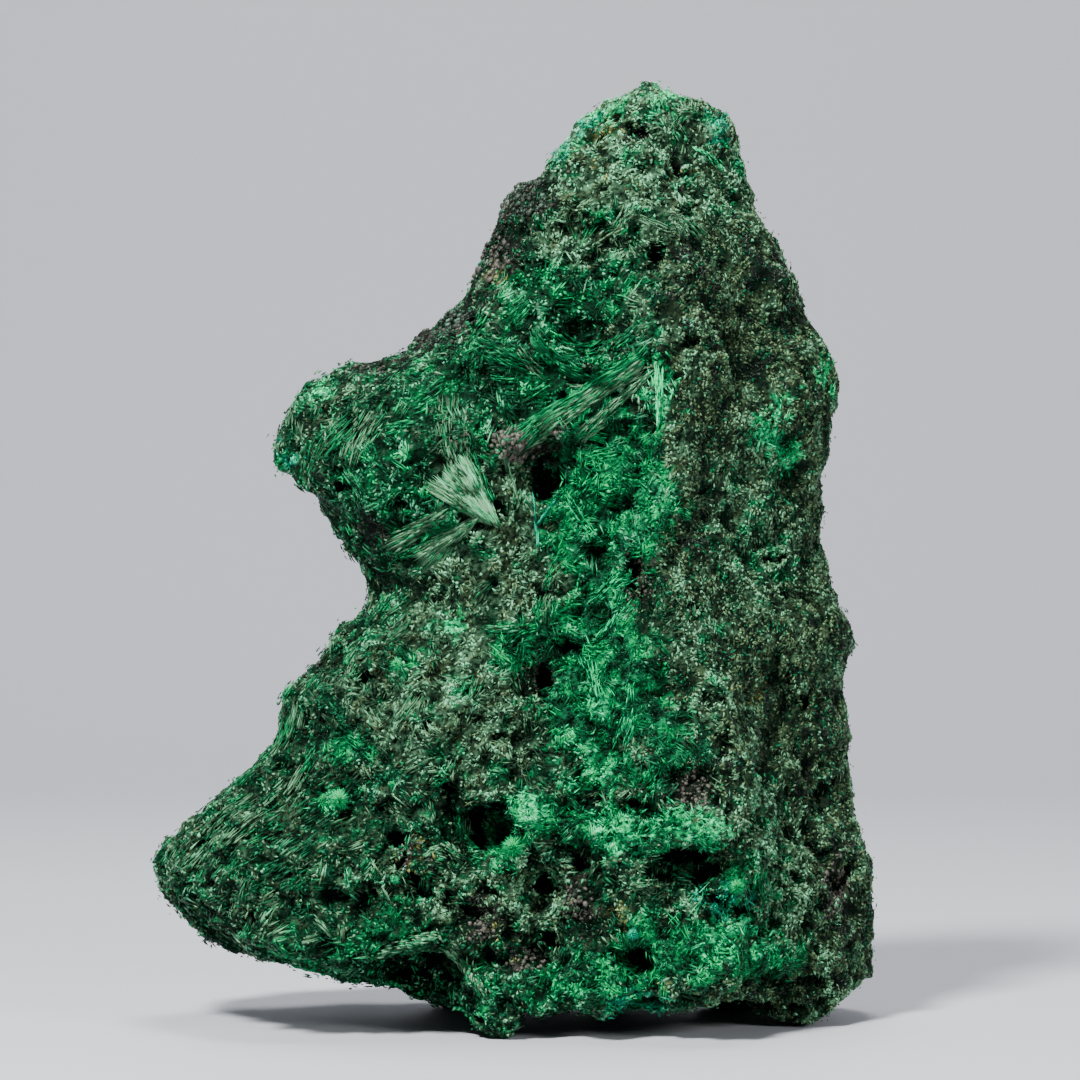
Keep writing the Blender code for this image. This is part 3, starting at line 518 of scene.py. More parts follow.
class Skin:
    """The crust's surface, as arrays that crystals can be rooted on."""

    def __init__(self, obj):
        self.points = read_points(obj.data)
        self.triangles = read_triangles(obj.data)
        edges = read_edges(obj.data)
        broad = averaged(self.points, edges, BROAD_ROUNDS)
        near = averaged(self.points, edges, NEAR_ROUNDS)
        self.broad_normals = vertex_normals(broad, self.triangles)
        self.normals = vertex_normals(self.points, self.triangles)
        self.height = ((self.points - broad) * self.broad_normals).sum(axis=1)
        self.relief = ((self.points - near) * self.broad_normals).sum(axis=1)
        self.areas = np.linalg.norm(face_normals(self.points, self.triangles), axis=1) / 2
        self.front = (self.broad_normals[:, 1] < 0.12).astype(float)

    def weights(self, names, mask):
        """The mask on ground of these kinds, less where sheaves and holes leave it bare."""
        return mask * of_kinds(self.kind, names) * self.bare

    def scatter(self, count, chance, weights):
        """Roots spread over the skin by area times each vertex's weight."""
        share = np.cumsum(self.areas * weights[self.triangles].mean(axis=1))
        picked = np.searchsorted(share, chance.uniform(0, share[-1], count))
        corners = self.triangles[picked]
        u, v = chance.uniform(0, 1, (2, count))
        over = u + v > 1
        u[over], v[over] = 1 - u[over], 1 - v[over]
        parts = np.stack([1 - u - v, u, v], axis=1)
        nearest = np.argmax(parts * (weights[corners] > 0), axis=1)

        def at(values):
            return (values[corners] * parts[:, :, None]).sum(axis=1)

        return dict(
            points=at(self.points), normals=unit(at(self.normals)),
            broad=unit(at(self.broad_normals)), height=at(self.height[:, None])[:, 0],
            relief=at(self.relief[:, None])[:, 0], kind=self.kind[corners[np.arange(count), nearest]])

    def front_point(self, x, z):
        """The foremost vertex near (x, z), in metres, and its broad normal."""
        away = np.hypot(self.points[:, 0] - x, self.points[:, 2] - z)
        near = np.flatnonzero((away < 1.2 * MM) & (self.broad_normals[:, 1] < 0.2))
        if len(near) == 0:
            raise RuntimeError(f"no crust in front at x {x:.4f}, z {z:.4f}")
        best = near[np.argmin(self.points[near, 1])]
        return self.points[best], self.broad_normals[best]


class Face:
    """The front of the crust, as seen by someone facing it: how far forward each place lies."""

    CELL = 0.4 * MM
    FILL_ROUNDS = 4
    TRIM_ROUNDS = 2
    BLUR_ROUNDS = 3

    def __init__(self, skin):
        ahead = skin.broad_normals[:, 1] < 0.1
        points = skin.points[ahead]
        self.low = points.min(axis=0)
        size = ((points.max(axis=0) - self.low) / self.CELL).astype(int) + 2
        depth = np.full((size[0], size[2]), np.nan)
        normals = np.zeros((size[0], size[2], 3))
        nearest_last = np.argsort(-points[:, 1])
        column, row = self.cells(points[nearest_last, 0], points[nearest_last, 2])
        depth[column, row] = points[nearest_last, 1]
        normals[column, row] = skin.broad_normals[ahead][nearest_last]
        for _ in range(self.FILL_ROUNDS):
            depth, normals = self.filled(depth, normals)
        for _ in range(self.TRIM_ROUNDS):
            depth = np.where(np.isfinite(self.shifted(depth)).all(axis=0), depth, np.nan)
        for _ in range(self.BLUR_ROUNDS):
            depth = self.blurred(depth)
        self.depth = depth
        self.normals = normals

    def cells(self, x, z):
        """The column and row of the grid that each place falls in."""
        column = ((x - self.low[0]) / self.CELL).astype(int)
        row = ((z - self.low[2]) / self.CELL).astype(int)
        return column, row

    @staticmethod
    def shifted(values):
        """The grid moved one cell each way, as a stack, with its edges repeated."""
        wide = np.pad(values, 1, mode="edge")
        return np.stack([wide[:-2, 1:-1], wide[2:, 1:-1], wide[1:-1, :-2], wide[1:-1, 2:]])

    def filled(self, depth, normals):
        """Empty cells with three known neighbours or more take their mean."""
        known = np.isfinite(self.shifted(depth))
        count = known.sum(axis=0)
        empty = ~np.isfinite(depth) & (count > 2)

        def fill(values):
            near = np.where(known, self.shifted(values), 0).sum(axis=0)
            return np.where(empty, near / np.maximum(count, 1), values)

        return fill(depth), np.stack([fill(normals[:, :, axis]) for axis in range(3)], axis=2)

    def blurred(self, depth):
        around = self.shifted(depth)
        around = np.where(np.isfinite(around), around, depth)
        return 0.4 * depth + 0.6 * around.mean(axis=0)

    def look(self, x, z):
        """The surface points and normals at these places, and whether any surface lies there."""
        column, row = self.cells(x, z)
        column = np.clip(column, 0, self.depth.shape[0] - 1)
        row = np.clip(row, 0, self.depth.shape[1] - 1)
        depth = self.depth[column, row]
        found = np.isfinite(depth) & (z > FOOT_CLEAR)
        points = np.stack([x, np.where(found, depth, 0), z], axis=1)
        normals = self.normals[column, row]
        normals[~found] = (0, -1, 0)
        return points, unit(normals), found


# ---------------------------------------------------------------- crystal shapes


def crystal_form(sides, belly):
    """The points and faces of one crystal, from its root at z = 0 to its tip at z = 1."""
    bpy.ops.object.select_all(action="DESELECT")
    bpy.ops.mesh.primitive_cone_add(
        vertices=sides, radius1=0.5, radius2=0.0, depth=1 - belly, end_fill_type="TRIFAN",
        location=(0, 0, belly + (1 - belly) / 2))
    obj = bpy.context.active_object
    bpy.ops.object.transform_apply(location=True, rotation=True, scale=True)
    bpy.ops.object.mode_set(mode="EDIT")
    bpy.ops.mesh.select_all(action="DESELECT")
    bpy.ops.object.mode_set(mode="OBJECT")
    for vertex in obj.data.vertices:
        vertex.select = math.hypot(vertex.co.x, vertex.co.y) < 1e-4 and vertex.co.z < belly + 1e-4
    bpy.ops.object.mode_set(mode="EDIT")
    bpy.ops.transform.translate(value=(0, 0, -belly))
    bpy.ops.object.mode_set(mode="OBJECT")
    return taken_form(obj)


def taken_form(obj):
    """A modelled object's points and triangles; the object itself is removed."""
    mesh = obj.data
    points = read_points(mesh)
    faces = read_triangles(mesh)
    bpy.data.objects.remove(obj, do_unlink=True)
    bpy.data.meshes.remove(mesh)
    return points, faces


def nodule_form():
    """The points and faces of one knobbly nodule, one unit high."""
    bpy.ops.object.select_all(action="DESELECT")
    bpy.ops.mesh.primitive_ico_sphere_add(subdivisions=1, radius=0.5, location=(0, 0, 0.5))
    obj = bpy.context.active_object
    bpy.ops.object.mode_set(mode="EDIT")
    bpy.ops.mesh.select_all(action="SELECT")
    bpy.ops.transform.vertex_random(offset=0.12, uniform=0.6, seed=3)
    bpy.ops.object.mode_set(mode="OBJECT")
    bpy.ops.object.transform_apply(location=True, rotation=True, scale=True)
    return taken_form(obj)


def joined_mesh(name, points, faces, uvs):
    """A mesh of triangles from arrays, with one UV map."""
    mesh = bpy.data.meshes.new(name)
    mesh.vertices.add(len(points))
    mesh.vertices.foreach_set("co", points.astype(np.float32).ravel())
    mesh.loops.add(len(faces) * 3)
    mesh.loops.foreach_set("vertex_index", faces.astype(np.int32).ravel())
    mesh.polygons.add(len(faces))
    mesh.polygons.foreach_set("loop_start", np.arange(0, len(faces) * 3, 3, dtype=np.int32))
    layer = mesh.uv_layers.new(name="OFBake")
    layer.uv.foreach_set("vector", uvs.astype(np.float32).ravel())
    mesh.update(calc_edges=True)
    mesh.validate()
    obj = bpy.data.objects.new(name, mesh)
    bpy.context.scene.collection.objects.link(obj)
    return obj


def grow(name, form, needles):
    """One joined piece of all these crystals, less those that leave the specimen's box.

    needles holds arrays: root, direction, facing (what their flat side looks along), length,
    width, thick (share of the width), tone (0 to 1 across the tone map) and low, high
    (brightness at the root and at the tip; the darker root is painted shade)."""
    form_points, form_faces = form
    along = unit(needles["direction"])
    across = unit(np.cross(along, needles["facing"]))
    deep = np.cross(across, along)
    length, width, thick = (needles[key][:, None, None] for key in ("length", "width", "thick"))
    local = form_points[None, :, :]
    points = (
        needles["root"][:, None, :]
        + along[:, None, :] * length * local[:, :, 2:3]
        + across[:, None, :] * width * local[:, :, 0:1]
        - deep[:, None, :] * width * thick * local[:, :, 1:2])
    in_box = ((points >= LOW_CORNER) & (points <= HIGH_CORNER)).all(axis=(1, 2))
    inside = (points[:, :, 2].min(axis=1) > 0.0) & in_box
    points = points[inside]
    starts = np.arange(len(points)) * len(form_points)
    faces = form_faces[None, :, :] + starts[:, None, None]
    low, high, tone = (needles[key][inside][:, None] for key in ("low", "high", "tone"))
    # Painted shade: each crystal darkens from its tip down to its root.
    bright = low + (high - low) * local[:, :, 2]
    side = np.arange(len(form_points)) / len(form_points) - 0.5
    tone = tone + UV_SIDESTEP * side[None, :]
    corner = form_faces.ravel()
    uvs = np.stack([bright[:, corner], tone[:, corner]], axis=2)
    return joined_mesh(name, points.reshape(-1, 3), faces.reshape(-1, 3), uvs.reshape(-1, 2))


# ---------------------------------------------------------------- what grows where


def of_kinds(kind, names):
    """True where the ground is of one of these kinds."""
    return np.isin(kind, [KIND_NUMBER[name] for name in names])


def patch_kind(points, seed):
    """The kind of the patch that each point of the front lies in, as a number, or -1."""
    x = layered(points, (0.9, 1.9, seed), (0.5, 0.7, seed + 1), start=points[:, 0] / MM)
    z = layered(points, (0.9, 1.9, seed + 2), (0.5, 0.7, seed + 3), start=points[:, 2] / MM)
    best = np.full(len(points), -1)
    depth = np.full(len(points), 0.0)
    for kind, patches in FRONT_PATCHES.items():
        for centre_x, centre_z, half_width, half_height, turn in patches:
            angle = math.radians(turn)
            right = (x - centre_x) * math.cos(angle) + (z - centre_z) * math.sin(angle)
            up = (z - centre_z) * math.cos(angle) - (x - centre_x) * math.sin(angle)
            inside = 1 - np.hypot(right / half_width, up / half_height)
            size_bonus = 0.8 / math.sqrt(half_width * half_height)
            score = np.where(inside > 0, inside + size_bonus, 0)
            better = score > depth
            best[better] = KIND_NUMBER[kind]
            depth[better] = score[better]
    return best


def ground_at(points, broad, seed):
    """The kind of ground at each point, as a number into GROUND_NAMES."""
    heights, ridge = zip(*RIDGE_LINE)
    ridge_x = np.interp(points[:, 2] / MM, heights, ridge)
    x = layered(points, (1.2, 3.0, seed + 9), start=points[:, 0] / MM)
    kind = np.where(x > ridge_x, KIND_NUMBER["drusy"], KIND_NUMBER["felt"])
    patch = patch_kind(points, seed)
    kind = np.where(patch >= 0, patch, kind)
    rear = broad[:, 1] > layered(points, (0.25, 5, seed + 4), start=0.35)
    return np.where(rear, rear_ground(points, seed), kind)


def rear_ground(points, seed):
    """The back and sides: drusy ground with veins and patches of the other kinds."""
    broad = layered(points, (1, 13, seed + 20), (0.5, 5, seed + 21))
    fine = layered(points, (1, 6, seed + 22), (0.5, 2.4, seed + 23))
    kind = np.full(len(points), KIND_NUMBER["fine_drusy"])
    for name, where in (
            ("felt", broad > 0.22), ("green", broad < -0.34),
            ("pale", (broad > 0.05) & (fine > 0.42)), ("vivid", (broad < -0.10) & (fine > 0.50)),
            ("mint", (broad < -0.20) & (fine > 0.78)), ("drusy", fine < -0.45),
            ("brown", fine < -0.66), ("lumps", fine < -0.90),
            ("pale", points[:, 2] + 3 * MM * fine > 87 * MM)):
        kind[where] = KIND_NUMBER[name]
    return kind


def ground_values(kind, key):
    """One setting of GROUNDS for each root."""
    return np.array([ground[key] for ground in GROUNDS.values()], float)[kind]


def ranged(kind, key, chance):
    """A length or width for each root, drawn from its ground's range."""
    low, high = ground_values(kind, key).T
    draw = chance.uniform(0, 1, len(kind)) ** 1.4
    return (low + (high - low) * draw) * MM


def drawn_tones(kind, points, chance):
    """A tone number for each crystal, drawn from its ground's mix; neighbours tend to share it."""
    place = layered(points, (0.85, 1.2, 91), start=0.5) + 0.14 * chance.normal(0, 1, len(kind))
    place = np.clip(place, 0, 0.999)
    tones = np.zeros(len(kind), int)
    for number, ground in enumerate(GROUNDS.values()):
        mine = np.flatnonzero(kind == number)
        shares = np.array([ground["mix"].get(tone, 0) for tone in TONES], float)
        tones[mine] = np.searchsorted(np.cumsum(shares) / shares.sum(), place[mine], side="right")
    return tones


def any_way(chance, count):
    """Random vectors that point every way."""
    return chance.normal(0, 1, (count, 3))


def on_tone_map(tones, chance):
    """Where these tone numbers lie across the tone map, each a little off its middle."""
    return (tones + 0.5 + 0.34 * chance.uniform(-1, 1, len(tones))) / len(TONES)


def turned_off_skin(normals, headings, stand):
    """Directions that leave the skin at the angle stand, towards headings laid onto it."""
    flat = unit(headings - normals * (headings * normals).sum(axis=1, keepdims=True))
    return unit(flat * np.cos(stand)[:, None] + normals * np.sin(stand)[:, None])


def scattered_shade(height, relief):
    """Painted shade at each place on the skin: 0 deep in the hollows to 1 on the high ground."""
    return smooth_step(height + 1.6 * relief, -1.6 * PAINTED_SHADE_DEPTH, 0.7 * PAINTED_SHADE_DEPTH)


def mottled(points):
    """Uneven brightness: bright and dark flecks within lighter and darker clumps."""
    return np.exp(layered(points, (0.7, 0.45, 8), (0.8, 1.2, 9), (0.5, 3.5, 10)))


def gapped(points):
    """1 where crystals crowd, falling to 0 in the small bare gaps between them."""
    return smooth_step(layered(points, (1, 0.65, 81), (0.5, 1.6, 82)), -0.5, 0.08)


def combed(points, own, chance):
    """Headings that nearby crystals partly share; own is how far each goes its own way."""
    shared = np.stack([clouds(points, 1.0 * MM, 94 + axis) for axis in range(3)], axis=1)
    return unit(shared) + own * any_way(chance, len(points))


def seen_flat(normals):
    """1 where the skin faces the front, falling to 0 where it turns away at the outline."""
    return smooth_step(np.abs(normals[:, 1]), 0.05, 0.5)


def on_curve(start, middle, end, t):
    """The place at t, from 0 to 1, along a line that bends towards its middle point."""
    return (1 - t) ** 2 * start + 2 * t * (1 - t) * middle + t ** 2 * end


def under_sheaves(points):
    """How far the front is covered by one of the SHEAVES, from 0 to 1."""
    flat = points[:, [0, 2]] / MM
    cover = np.zeros(len(points))
    for x0, z0, x1, z1, x2, z2, half0, half1, *_, body in SHEAVES:
        start, middle, end = np.array((x0, z0)), np.array((x1, z1)), np.array((x2, z2))
        for step in np.linspace(0, 1, 16):
            half = half0 + (half1 - half0) * step
            away = np.hypot(*(flat - on_curve(start, middle, end, step)).T)
            near = away < max(0.8 * half, 0.3)
            cover[near] = np.maximum(cover[near], min(0.3 + body, 1.0))
    return cover * (points[:, 1] < 0)


def bright_tail(chance, glow, sparkle):
    """Brightness of many crystals: most of them near the usual, some dark, a few bright with a painted
    glint.
    """
    value = glow * chance.uniform(0.45, 1.5, len(glow))
    value = np.where(chance.uniform(0, 1, len(glow)) < 0.12, value * 0.3, value)
    # Painted glints: the share sparkle is brightened.
    bright = chance.uniform(0, 1, len(glow)) < sparkle
    value = np.where(bright, value + chance.uniform(0.1, 0.45, len(glow)), value)
    return np.clip(value, DARKEST, BRIGHTEST)


def needle_sprays(skin, count, names, chance, mask, lift=1.0):
    """Bundles of needles on the ground of these kinds, inside the mask; lift brightens them."""
    weights = skin.weights(names, mask) * ground_values(skin.kind, "crowd")
    weights = weights * (0.3 + 0.7 * smooth_step(skin.height, -2.0 * MM, -0.3 * MM))
    spray = float(np.average(ground_values(skin.kind, "spray"), weights=weights + 1e-9))
    roots = skin.scatter(int(count / spray) + 1, chance, weights)
    kind = roots["kind"]
    number = len(kind)
    heading = combed(roots["points"], 0.6, chance)
    wing = of_kinds(kind, ["wing"])[:, None]
    heading = np.where(wing, WING_HEADING + 0.3 * heading, heading)
    open_face = seen_flat(roots["broad"])
    stand = np.clip(ground_values(kind, "stand") * chance.uniform(-0.4, 1.8, number), -4, 60)
    middle = turned_off_skin(roots["broad"], heading, np.radians(stand) * open_face)
    times = chance.poisson(ground_values(kind, "spray") - 1) + 1
    each = np.repeat(np.arange(number), times)[:count]
    kind = kind[each]
    normals = roots["broad"][each]
    place = roots["points"][each]
    fan = np.radians(ground_values(kind, "fan"))
    direction = unit(middle[each] + any_way(chance, len(each)) * (fan * 0.5)[:, None])
    into = (direction * normals).sum(axis=1)
    direction = unit(direction - normals * np.minimum(into + 0.03, 0)[:, None] * 1.3)
    length = ranged(kind, "length", chance) * (0.45 + 0.55 * open_face[each])
    width = ranged(kind, "width", chance)
    apart = any_way(chance, len(each)) * (width * 1.2)[:, None]
    root = place + apart - direction * (length * 0.3)[:, None] + normals * (0.05 * MM)
    shade = scattered_shade(roots["height"][each], roots["relief"][each])
    own = np.exp(chance.normal(0, 0.3, number))[each]
    # Painted shade dims the needles in hollows; painted glints crowd on the high ground.
    glow = lift * ground_values(kind, "glow") * (0.3 + 0.8 * shade) * mottled(place) * own
    high = bright_tail(chance, glow, ground_values(kind, "sparkle") * (0.3 + 1.3 * shade))
    tones = drawn_tones(kind, place, chance)
    # Their roots, at low, are painted in shade.
    return dict(
        root=root, direction=direction, facing=normals + 0.6 * any_way(chance, len(each)),
        length=length, width=width, thick=chance.uniform(0.5, 1.0, len(each)),
        tone=on_tone_map(tones, chance), low=high * 0.45, high=high)


def grains(skin, count, names, chance, mask, lift=1.0):
    """A mat of short blades and chunky grains, with small bare gaps; lift brightens it."""
    weights = skin.weights(names, mask)
    weights = weights * (0.45 + 0.55 * smooth_step(skin.relief, -0.5 * MM, 0.1 * MM))
    weights = weights * (0.06 + 0.94 * gapped(skin.points))
    roots = skin.scatter(count, chance, weights)
    kind = roots["kind"]
    drusy = of_kinds(kind, DRUSY_GROUNDS)
    chunky = chance.uniform(0, 1, count) < np.where(drusy, 0.55, 0.32)

    def drawn(chunks, blades):
        return np.where(chunky, chance.uniform(*chunks, count), chance.uniform(*blades, count))

    normals = unit(roots["broad"] + 0.8 * roots["normals"])
    stand = np.radians(drawn((10, 80), (-5, 40))) * (0.3 + 0.7 * seen_flat(roots["broad"]))
    direction = turned_off_skin(normals, combed(roots["points"], 0.8, chance), stand)
    width = drawn((0.30, 0.52), (0.21, 0.36)) * MM
    length = width * drawn((0.9, 1.5), (1.5, 3.2))
    shade = scattered_shade(roots["height"], roots["relief"])
    patchy = mottled(roots["points"]) ** np.where(drusy, 0.45, 1.0)
    # Painted shade dims the grains in hollows; painted glints crowd on the high ground.
    glow = lift * ground_values(kind, "glow") * (0.28 + 0.85 * shade) * patchy
    high = bright_tail(chance, glow, ground_values(kind, "sparkle") * (0.3 + 1.3 * shade))
    # Their roots, at low, are painted in shade.
    return dict(
        root=roots["points"] - direction * (length * 0.4)[:, None], direction=direction,
        facing=any_way(chance, count), length=length, width=width,
        thick=chance.uniform(0.6, 1.0, count),
        tone=on_tone_map(drawn_tones(kind, roots["points"], chance), chance),
        low=high * 0.6, high=high)


def tufts(skin, count, names, chance, mask):
    """Velvety tufts: short needles that spread from one root into half a ball."""
    weights = skin.weights(names, mask)
    weights = weights * (0.15 + 0.85 * smooth_step(skin.relief, -0.4 * MM, 0.2 * MM))
    roots = skin.scatter(count // TUFT_NEEDLES, chance, weights)
    number = len(roots["kind"])
    radius = chance.uniform(0.35, 0.95, number) * MM
    own = np.exp(chance.normal(0, 0.35, number))
    tones = drawn_tones(roots["kind"], roots["points"], chance)
    lean = unit(roots["broad"] + 0.5 * any_way(chance, number))
    each = np.repeat(np.arange(number), TUFT_NEEDLES)
    direction = unit(any_way(chance, len(each)) + lean[each])
    shade = scattered_shade(roots["height"], roots["relief"])[each]
    kind = roots["kind"][each]
    # Painted shade dims the tufts in hollows, and bright_tail gives a share painted glints.
    glow = ground_values(kind, "glow") * (0.35 + 0.75 * shade) * own[each]
    glow = glow * mottled(roots["points"])[each]
    high = bright_tail(chance, glow, ground_values(kind, "sparkle"))
    # Each needle's root, in the tuft's middle, is painted in deep shade.
    return dict(
        root=roots["points"][each] - lean[each] * (0.1 * MM), direction=direction,
        facing=any_way(chance, len(each)), length=radius[each] * chance.uniform(0.7, 1.1, len(each)),
        width=chance.uniform(0.12, 0.20, len(each)) * MM, thick=chance.uniform(0.6, 1.0, len(each)),
        tone=on_tone_map(tones[each], chance), low=high * 0.2, high=high)


def joined_sets(sets):
    return {key: np.concatenate([part[key] for part in sets]) for key in sets[0]}


def strip_noise(place, chance):
    """Smooth random values from 0 to 1 along a line, for places from -1 to 1."""
    knots = chance.uniform(0, 1, STREAK_KNOTS)
    return np.interp((place + 1) * (STREAK_KNOTS - 1) / 2, np.arange(STREAK_KNOTS), knots)


def loose_sheaves(skin, count, chance):
    """Short sheaves laid every way over the front, in the same form as SHEAVES."""
    weights = skin.weights(SHEAF_TONES, skin.front)
    weights = weights * (skin.height > -0.8 * MM) * (skin.broad_normals[:, 1] < -0.35)
    weights = weights * np.where(skin.points[:, 2] < 28 * MM, 0.4, 1.0)
    roots = skin.scatter(count, chance, weights)
    rows = []
    for point, kind in zip(roots["points"] / MM, roots["kind"]):
        name = GROUND_NAMES[kind]
        angle = chance.uniform(0, 2 * math.pi)
        run = chance.uniform(1.2, 3.0)
        bend = chance.normal(0, 0.10) * run
        ahead = np.array([math.cos(angle), math.sin(angle)])
        side = np.array([-ahead[1], ahead[0]])
        start = point[[0, 2]]
        middle = start + ahead * run / 2 + side * bend
        end = start + ahead * run
        half = chance.uniform(0.25, 0.5)
        opening = chance.uniform(0.8, 2.2)
        rows.append((
            *start, *middle, *end, half, half * opening, int(16 * run * half * (1 + opening)),
            chance.uniform(1.0, 2.0), chance.uniform(0.16, 0.26), chance.uniform(2, 8),
            SHEAF_TONES[name], GROUNDS[name]["glow"] * chance.uniform(0.5, 1.4),
            GROUNDS[name]["sparkle"] * chance.uniform(0.4, 1.4), chance.uniform(0.0, 0.3)))
    return rows


def sheaf_needles(face, sheaves, chance):
    """Long needles laid side by side along curved lines, as fans, bundles and bands."""
    sets = []
    for (x0, z0, x1, z1, x2, z2, half0, half1, count, length, width, stand,
         tone, glow, sparkle, body) in sheaves:
        curve = [np.array(pair) * MM for pair in ((x0, z0), (x1, z1), (x2, z2))]
        along = chance.uniform(0, 1, count)[:, None]
        side = chance.uniform(-1, 1, count)
        streak = strip_noise(side, chance)
        half = (half0 + (half1 - half0) * along[:, 0]) * MM
        tangent = unit(on_curve(*curve, along + 0.01) - on_curve(*curve, along - 0.01))
        across = np.stack([-tangent[:, 1], tangent[:, 0]], axis=1)
        run = np.linalg.norm(curve[2] - curve[0])
        opening = (half1 - half0) * MM / max(run, MM)
        heading = tangent + across * (side * opening + chance.normal(0, 0.05, count))[:, None]
        flat = on_curve(*curve, along) + across * (side * half)[:, None]
        points, normals, found = face.look(flat[:, 0], flat[:, 1])
        headings = np.stack([heading[:, 0], np.zeros(count), heading[:, 1]], axis=1)
        rise = np.radians(stand + chance.normal(0, 3, count))
        direction = turned_off_skin(normals, headings, rise)
        reach = length * MM * chance.uniform(0.4, 1.1, count)
        lift = (0.2 * streak + body * (1 - side ** 2) + chance.uniform(-0.3, 0.1, count)) * MM
        value = glow * (0.6 + 0.6 * streak) * chance.uniform(0.7, 1.25, count)
        # Painted glints: a share of the needles, more along the pale streaks, is brightened.
        bright = chance.uniform(0, 1, count) < sparkle * (0.3 + 1.4 * streak)
        value = np.clip(value + bright * chance.uniform(0.1, 0.3, count), 0.03, 0.97)
        own, second = TONES.index(tone), TONES.index(SECOND_TONE.get(tone, tone))
        tones = np.where(chance.uniform(0, 1, count) < 0.75, own, second)
        # Their roots, at low, are painted in light shade.
        needles = dict(
            root=points + normals * lift[:, None] - direction * (reach * 0.4)[:, None],
            direction=direction, facing=normals + 0.5 * any_way(chance, count), length=reach,
            width=width * MM * chance.uniform(0.7, 1.35, count),
            thick=chance.uniform(0.5, 0.9, count), tone=on_tone_map(tones, chance),
            low=value * 0.7, high=value)
        sets.append({key: values[found] for key, values in needles.items()})
    return joined_sets(sets)


def ball_needles(skin, balls, chance):
    """Little balls whose needles point every way from one centre."""
    sets = []
    for x, z, radius, count, tone, glow in balls:
        root, normal = skin.front_point(x * MM, z * MM)
        direction = unit(any_way(chance, count) + 0.5 * normal)
        bright = np.clip(glow * chance.uniform(0.5, 1.4, count), 0.05, 0.97)
        # The needles' roots, at the ball's middle, are painted in shade.
        sets.append(dict(
            root=np.repeat((root + normal * radius * 0.25 * MM)[None, :], count, axis=0),
            direction=direction, facing=any_way(chance, count),
            length=radius * MM * chance.uniform(0.75, 1.1, count),
            width=np.full(count, radius * 0.15 * MM), thick=np.full(count, 0.8),
            tone=on_tone_map(np.full(count, TONES.index(tone)), chance),
            low=bright * 0.4, high=bright))
    return joined_sets(sets)


def nodules(skin, clusters, chance):
    """Knobbly nodules crowded into clusters."""
    x, z = skin.points[:, 0] / MM, skin.points[:, 2] / MM
    sets = []
    for centre_x, centre_z, half_width, half_height, count, size, tone, glow in clusters:
        away = np.hypot((x - centre_x) / half_width, (z - centre_z) / half_height)
        weights = (away < 1) * (skin.broad_normals[:, 1] < 0.5)
        roots = skin.scatter(count, chance, weights.astype(float))
        height = size * MM * chance.uniform(0.6, 1.25, count)
        bright = np.clip(glow * chance.uniform(0.5, 1.5, count), 0.03, 0.95)
        # Each nodule darkens towards its foot, as painted shade.
        sets.append(dict(
            root=roots["points"] - roots["broad"] * (height * 0.35)[:, None],
            direction=unit(roots["broad"] + 0.2 * any_way(chance, count)),
            facing=any_way(chance, count), length=height,
            width=height * chance.uniform(0.9, 1.25, count), thick=chance.uniform(0.8, 1.1, count),
            tone=on_tone_map(np.full(count, TONES.index(tone)), chance),
            low=bright * 0.3, high=bright))
    return joined_sets(sets)


# ---------------------------------------------------------------- shader maths


class Number:
    """One number socket of a node tree, for shader maths written as expressions."""

    def __init__(self, tree, socket):
        self.tree = tree
        self.socket = socket

    def between(self, low, high):
        """0 below low, 1 above high, and smooth between them."""
        made = add_node(
            self.tree, "ShaderNodeMapRange", dict(interpolation_type="SMOOTHSTEP"),
            {"Value": self, "From Min": low, "From Max": high})
        return Number(self.tree, made.outputs[0])


def add_node(tree, kind, settings, inputs):
    """Adds a node: its settings first, then the values or links of its sockets."""
    node = tree.nodes.new(kind)
    for name, value in settings.items():
        if name == "stops":
            ramp = node.color_ramp
            while len(ramp.elements) < len(value):
                ramp.elements.new(1.0)
            for element, (place, colour) in zip(ramp.elements, value):
                element.position = place
                element.color = colour
        elif name == "ramp_interpolation":
            node.color_ramp.interpolation = value
        else:
            setattr(node, name, value)
    for name, value in inputs.items():
        socket = node.inputs[name]
        if isinstance(value, Number):
            value = value.socket
        if isinstance(value, bpy.types.NodeSocket):
            tree.links.new(value, socket)
        else:
            socket.default_value = value
    return node


def mixed(tree, factor, first, second):
    """A colour between two others."""
    node = add_node(
        tree, "ShaderNodeMix", dict(data_type="RGBA"), {0: factor, 6: first, 7: second})
    return node.outputs[2]


def new_material(name):
    material = bpy.data.materials.new(name)
    material.use_nodes = True
    material.node_tree.nodes.clear()
    return material, material.node_tree


def add_surface(tree, sockets):
    """The material's shader, with these values and links, and its output."""
    shader = add_node(tree, "ShaderNodeBsdfPrincipled", {}, sockets)
    add_node(tree, "ShaderNodeOutputMaterial", {}, {"Surface": shader.outputs[0]})


def opaque(colour):
    return (*colour, 1.0)


def crystal_finish(tones, name, roughness):
    """Silky crystal whose tone and brightness lie on the piece's own tone map; the brightness carries
    painted shade and painted highlights.
    """
    material, tree = new_material(name)
    uv = add_node(tree, "ShaderNodeUVMap", dict(uv_map="OFBake"), {})
    parts = add_node(tree, "ShaderNodeSeparateXYZ", {}, {0: uv.outputs[0]})
    bright = Number(tree, parts.outputs[0])
    stops = [(index / len(TONES), opaque(getattr(tones, tone))) for index, tone in enumerate(TONES)]
    tone = add_node(
        tree, "ShaderNodeValToRGB", dict(ramp_interpolation="CONSTANT", stops=stops),
        {0: parts.outputs[1]}).outputs[0]
    # Painted shade: low brightness falls towards near black.
    dark = mixed(tree, 0.95, tone, NEEDLE_DARK)
    body = mixed(tree, bright.between(0.0, 0.6), dark, tone)
    # Painted highlight: the brightest crystals blend towards the highlight colour.
    pale = mixed(tree, 0.50, tone, opaque(tones.highlight))
    colour = mixed(tree, bright.between(0.55, 1.0), body, pale)
    add_surface(tree, {
        "Base Color": colour, "Roughness": roughness, "IOR": 1.45, "Specular IOR Level": 0.22,
        "Specular Tint": GREEN_SHINE})
    return material


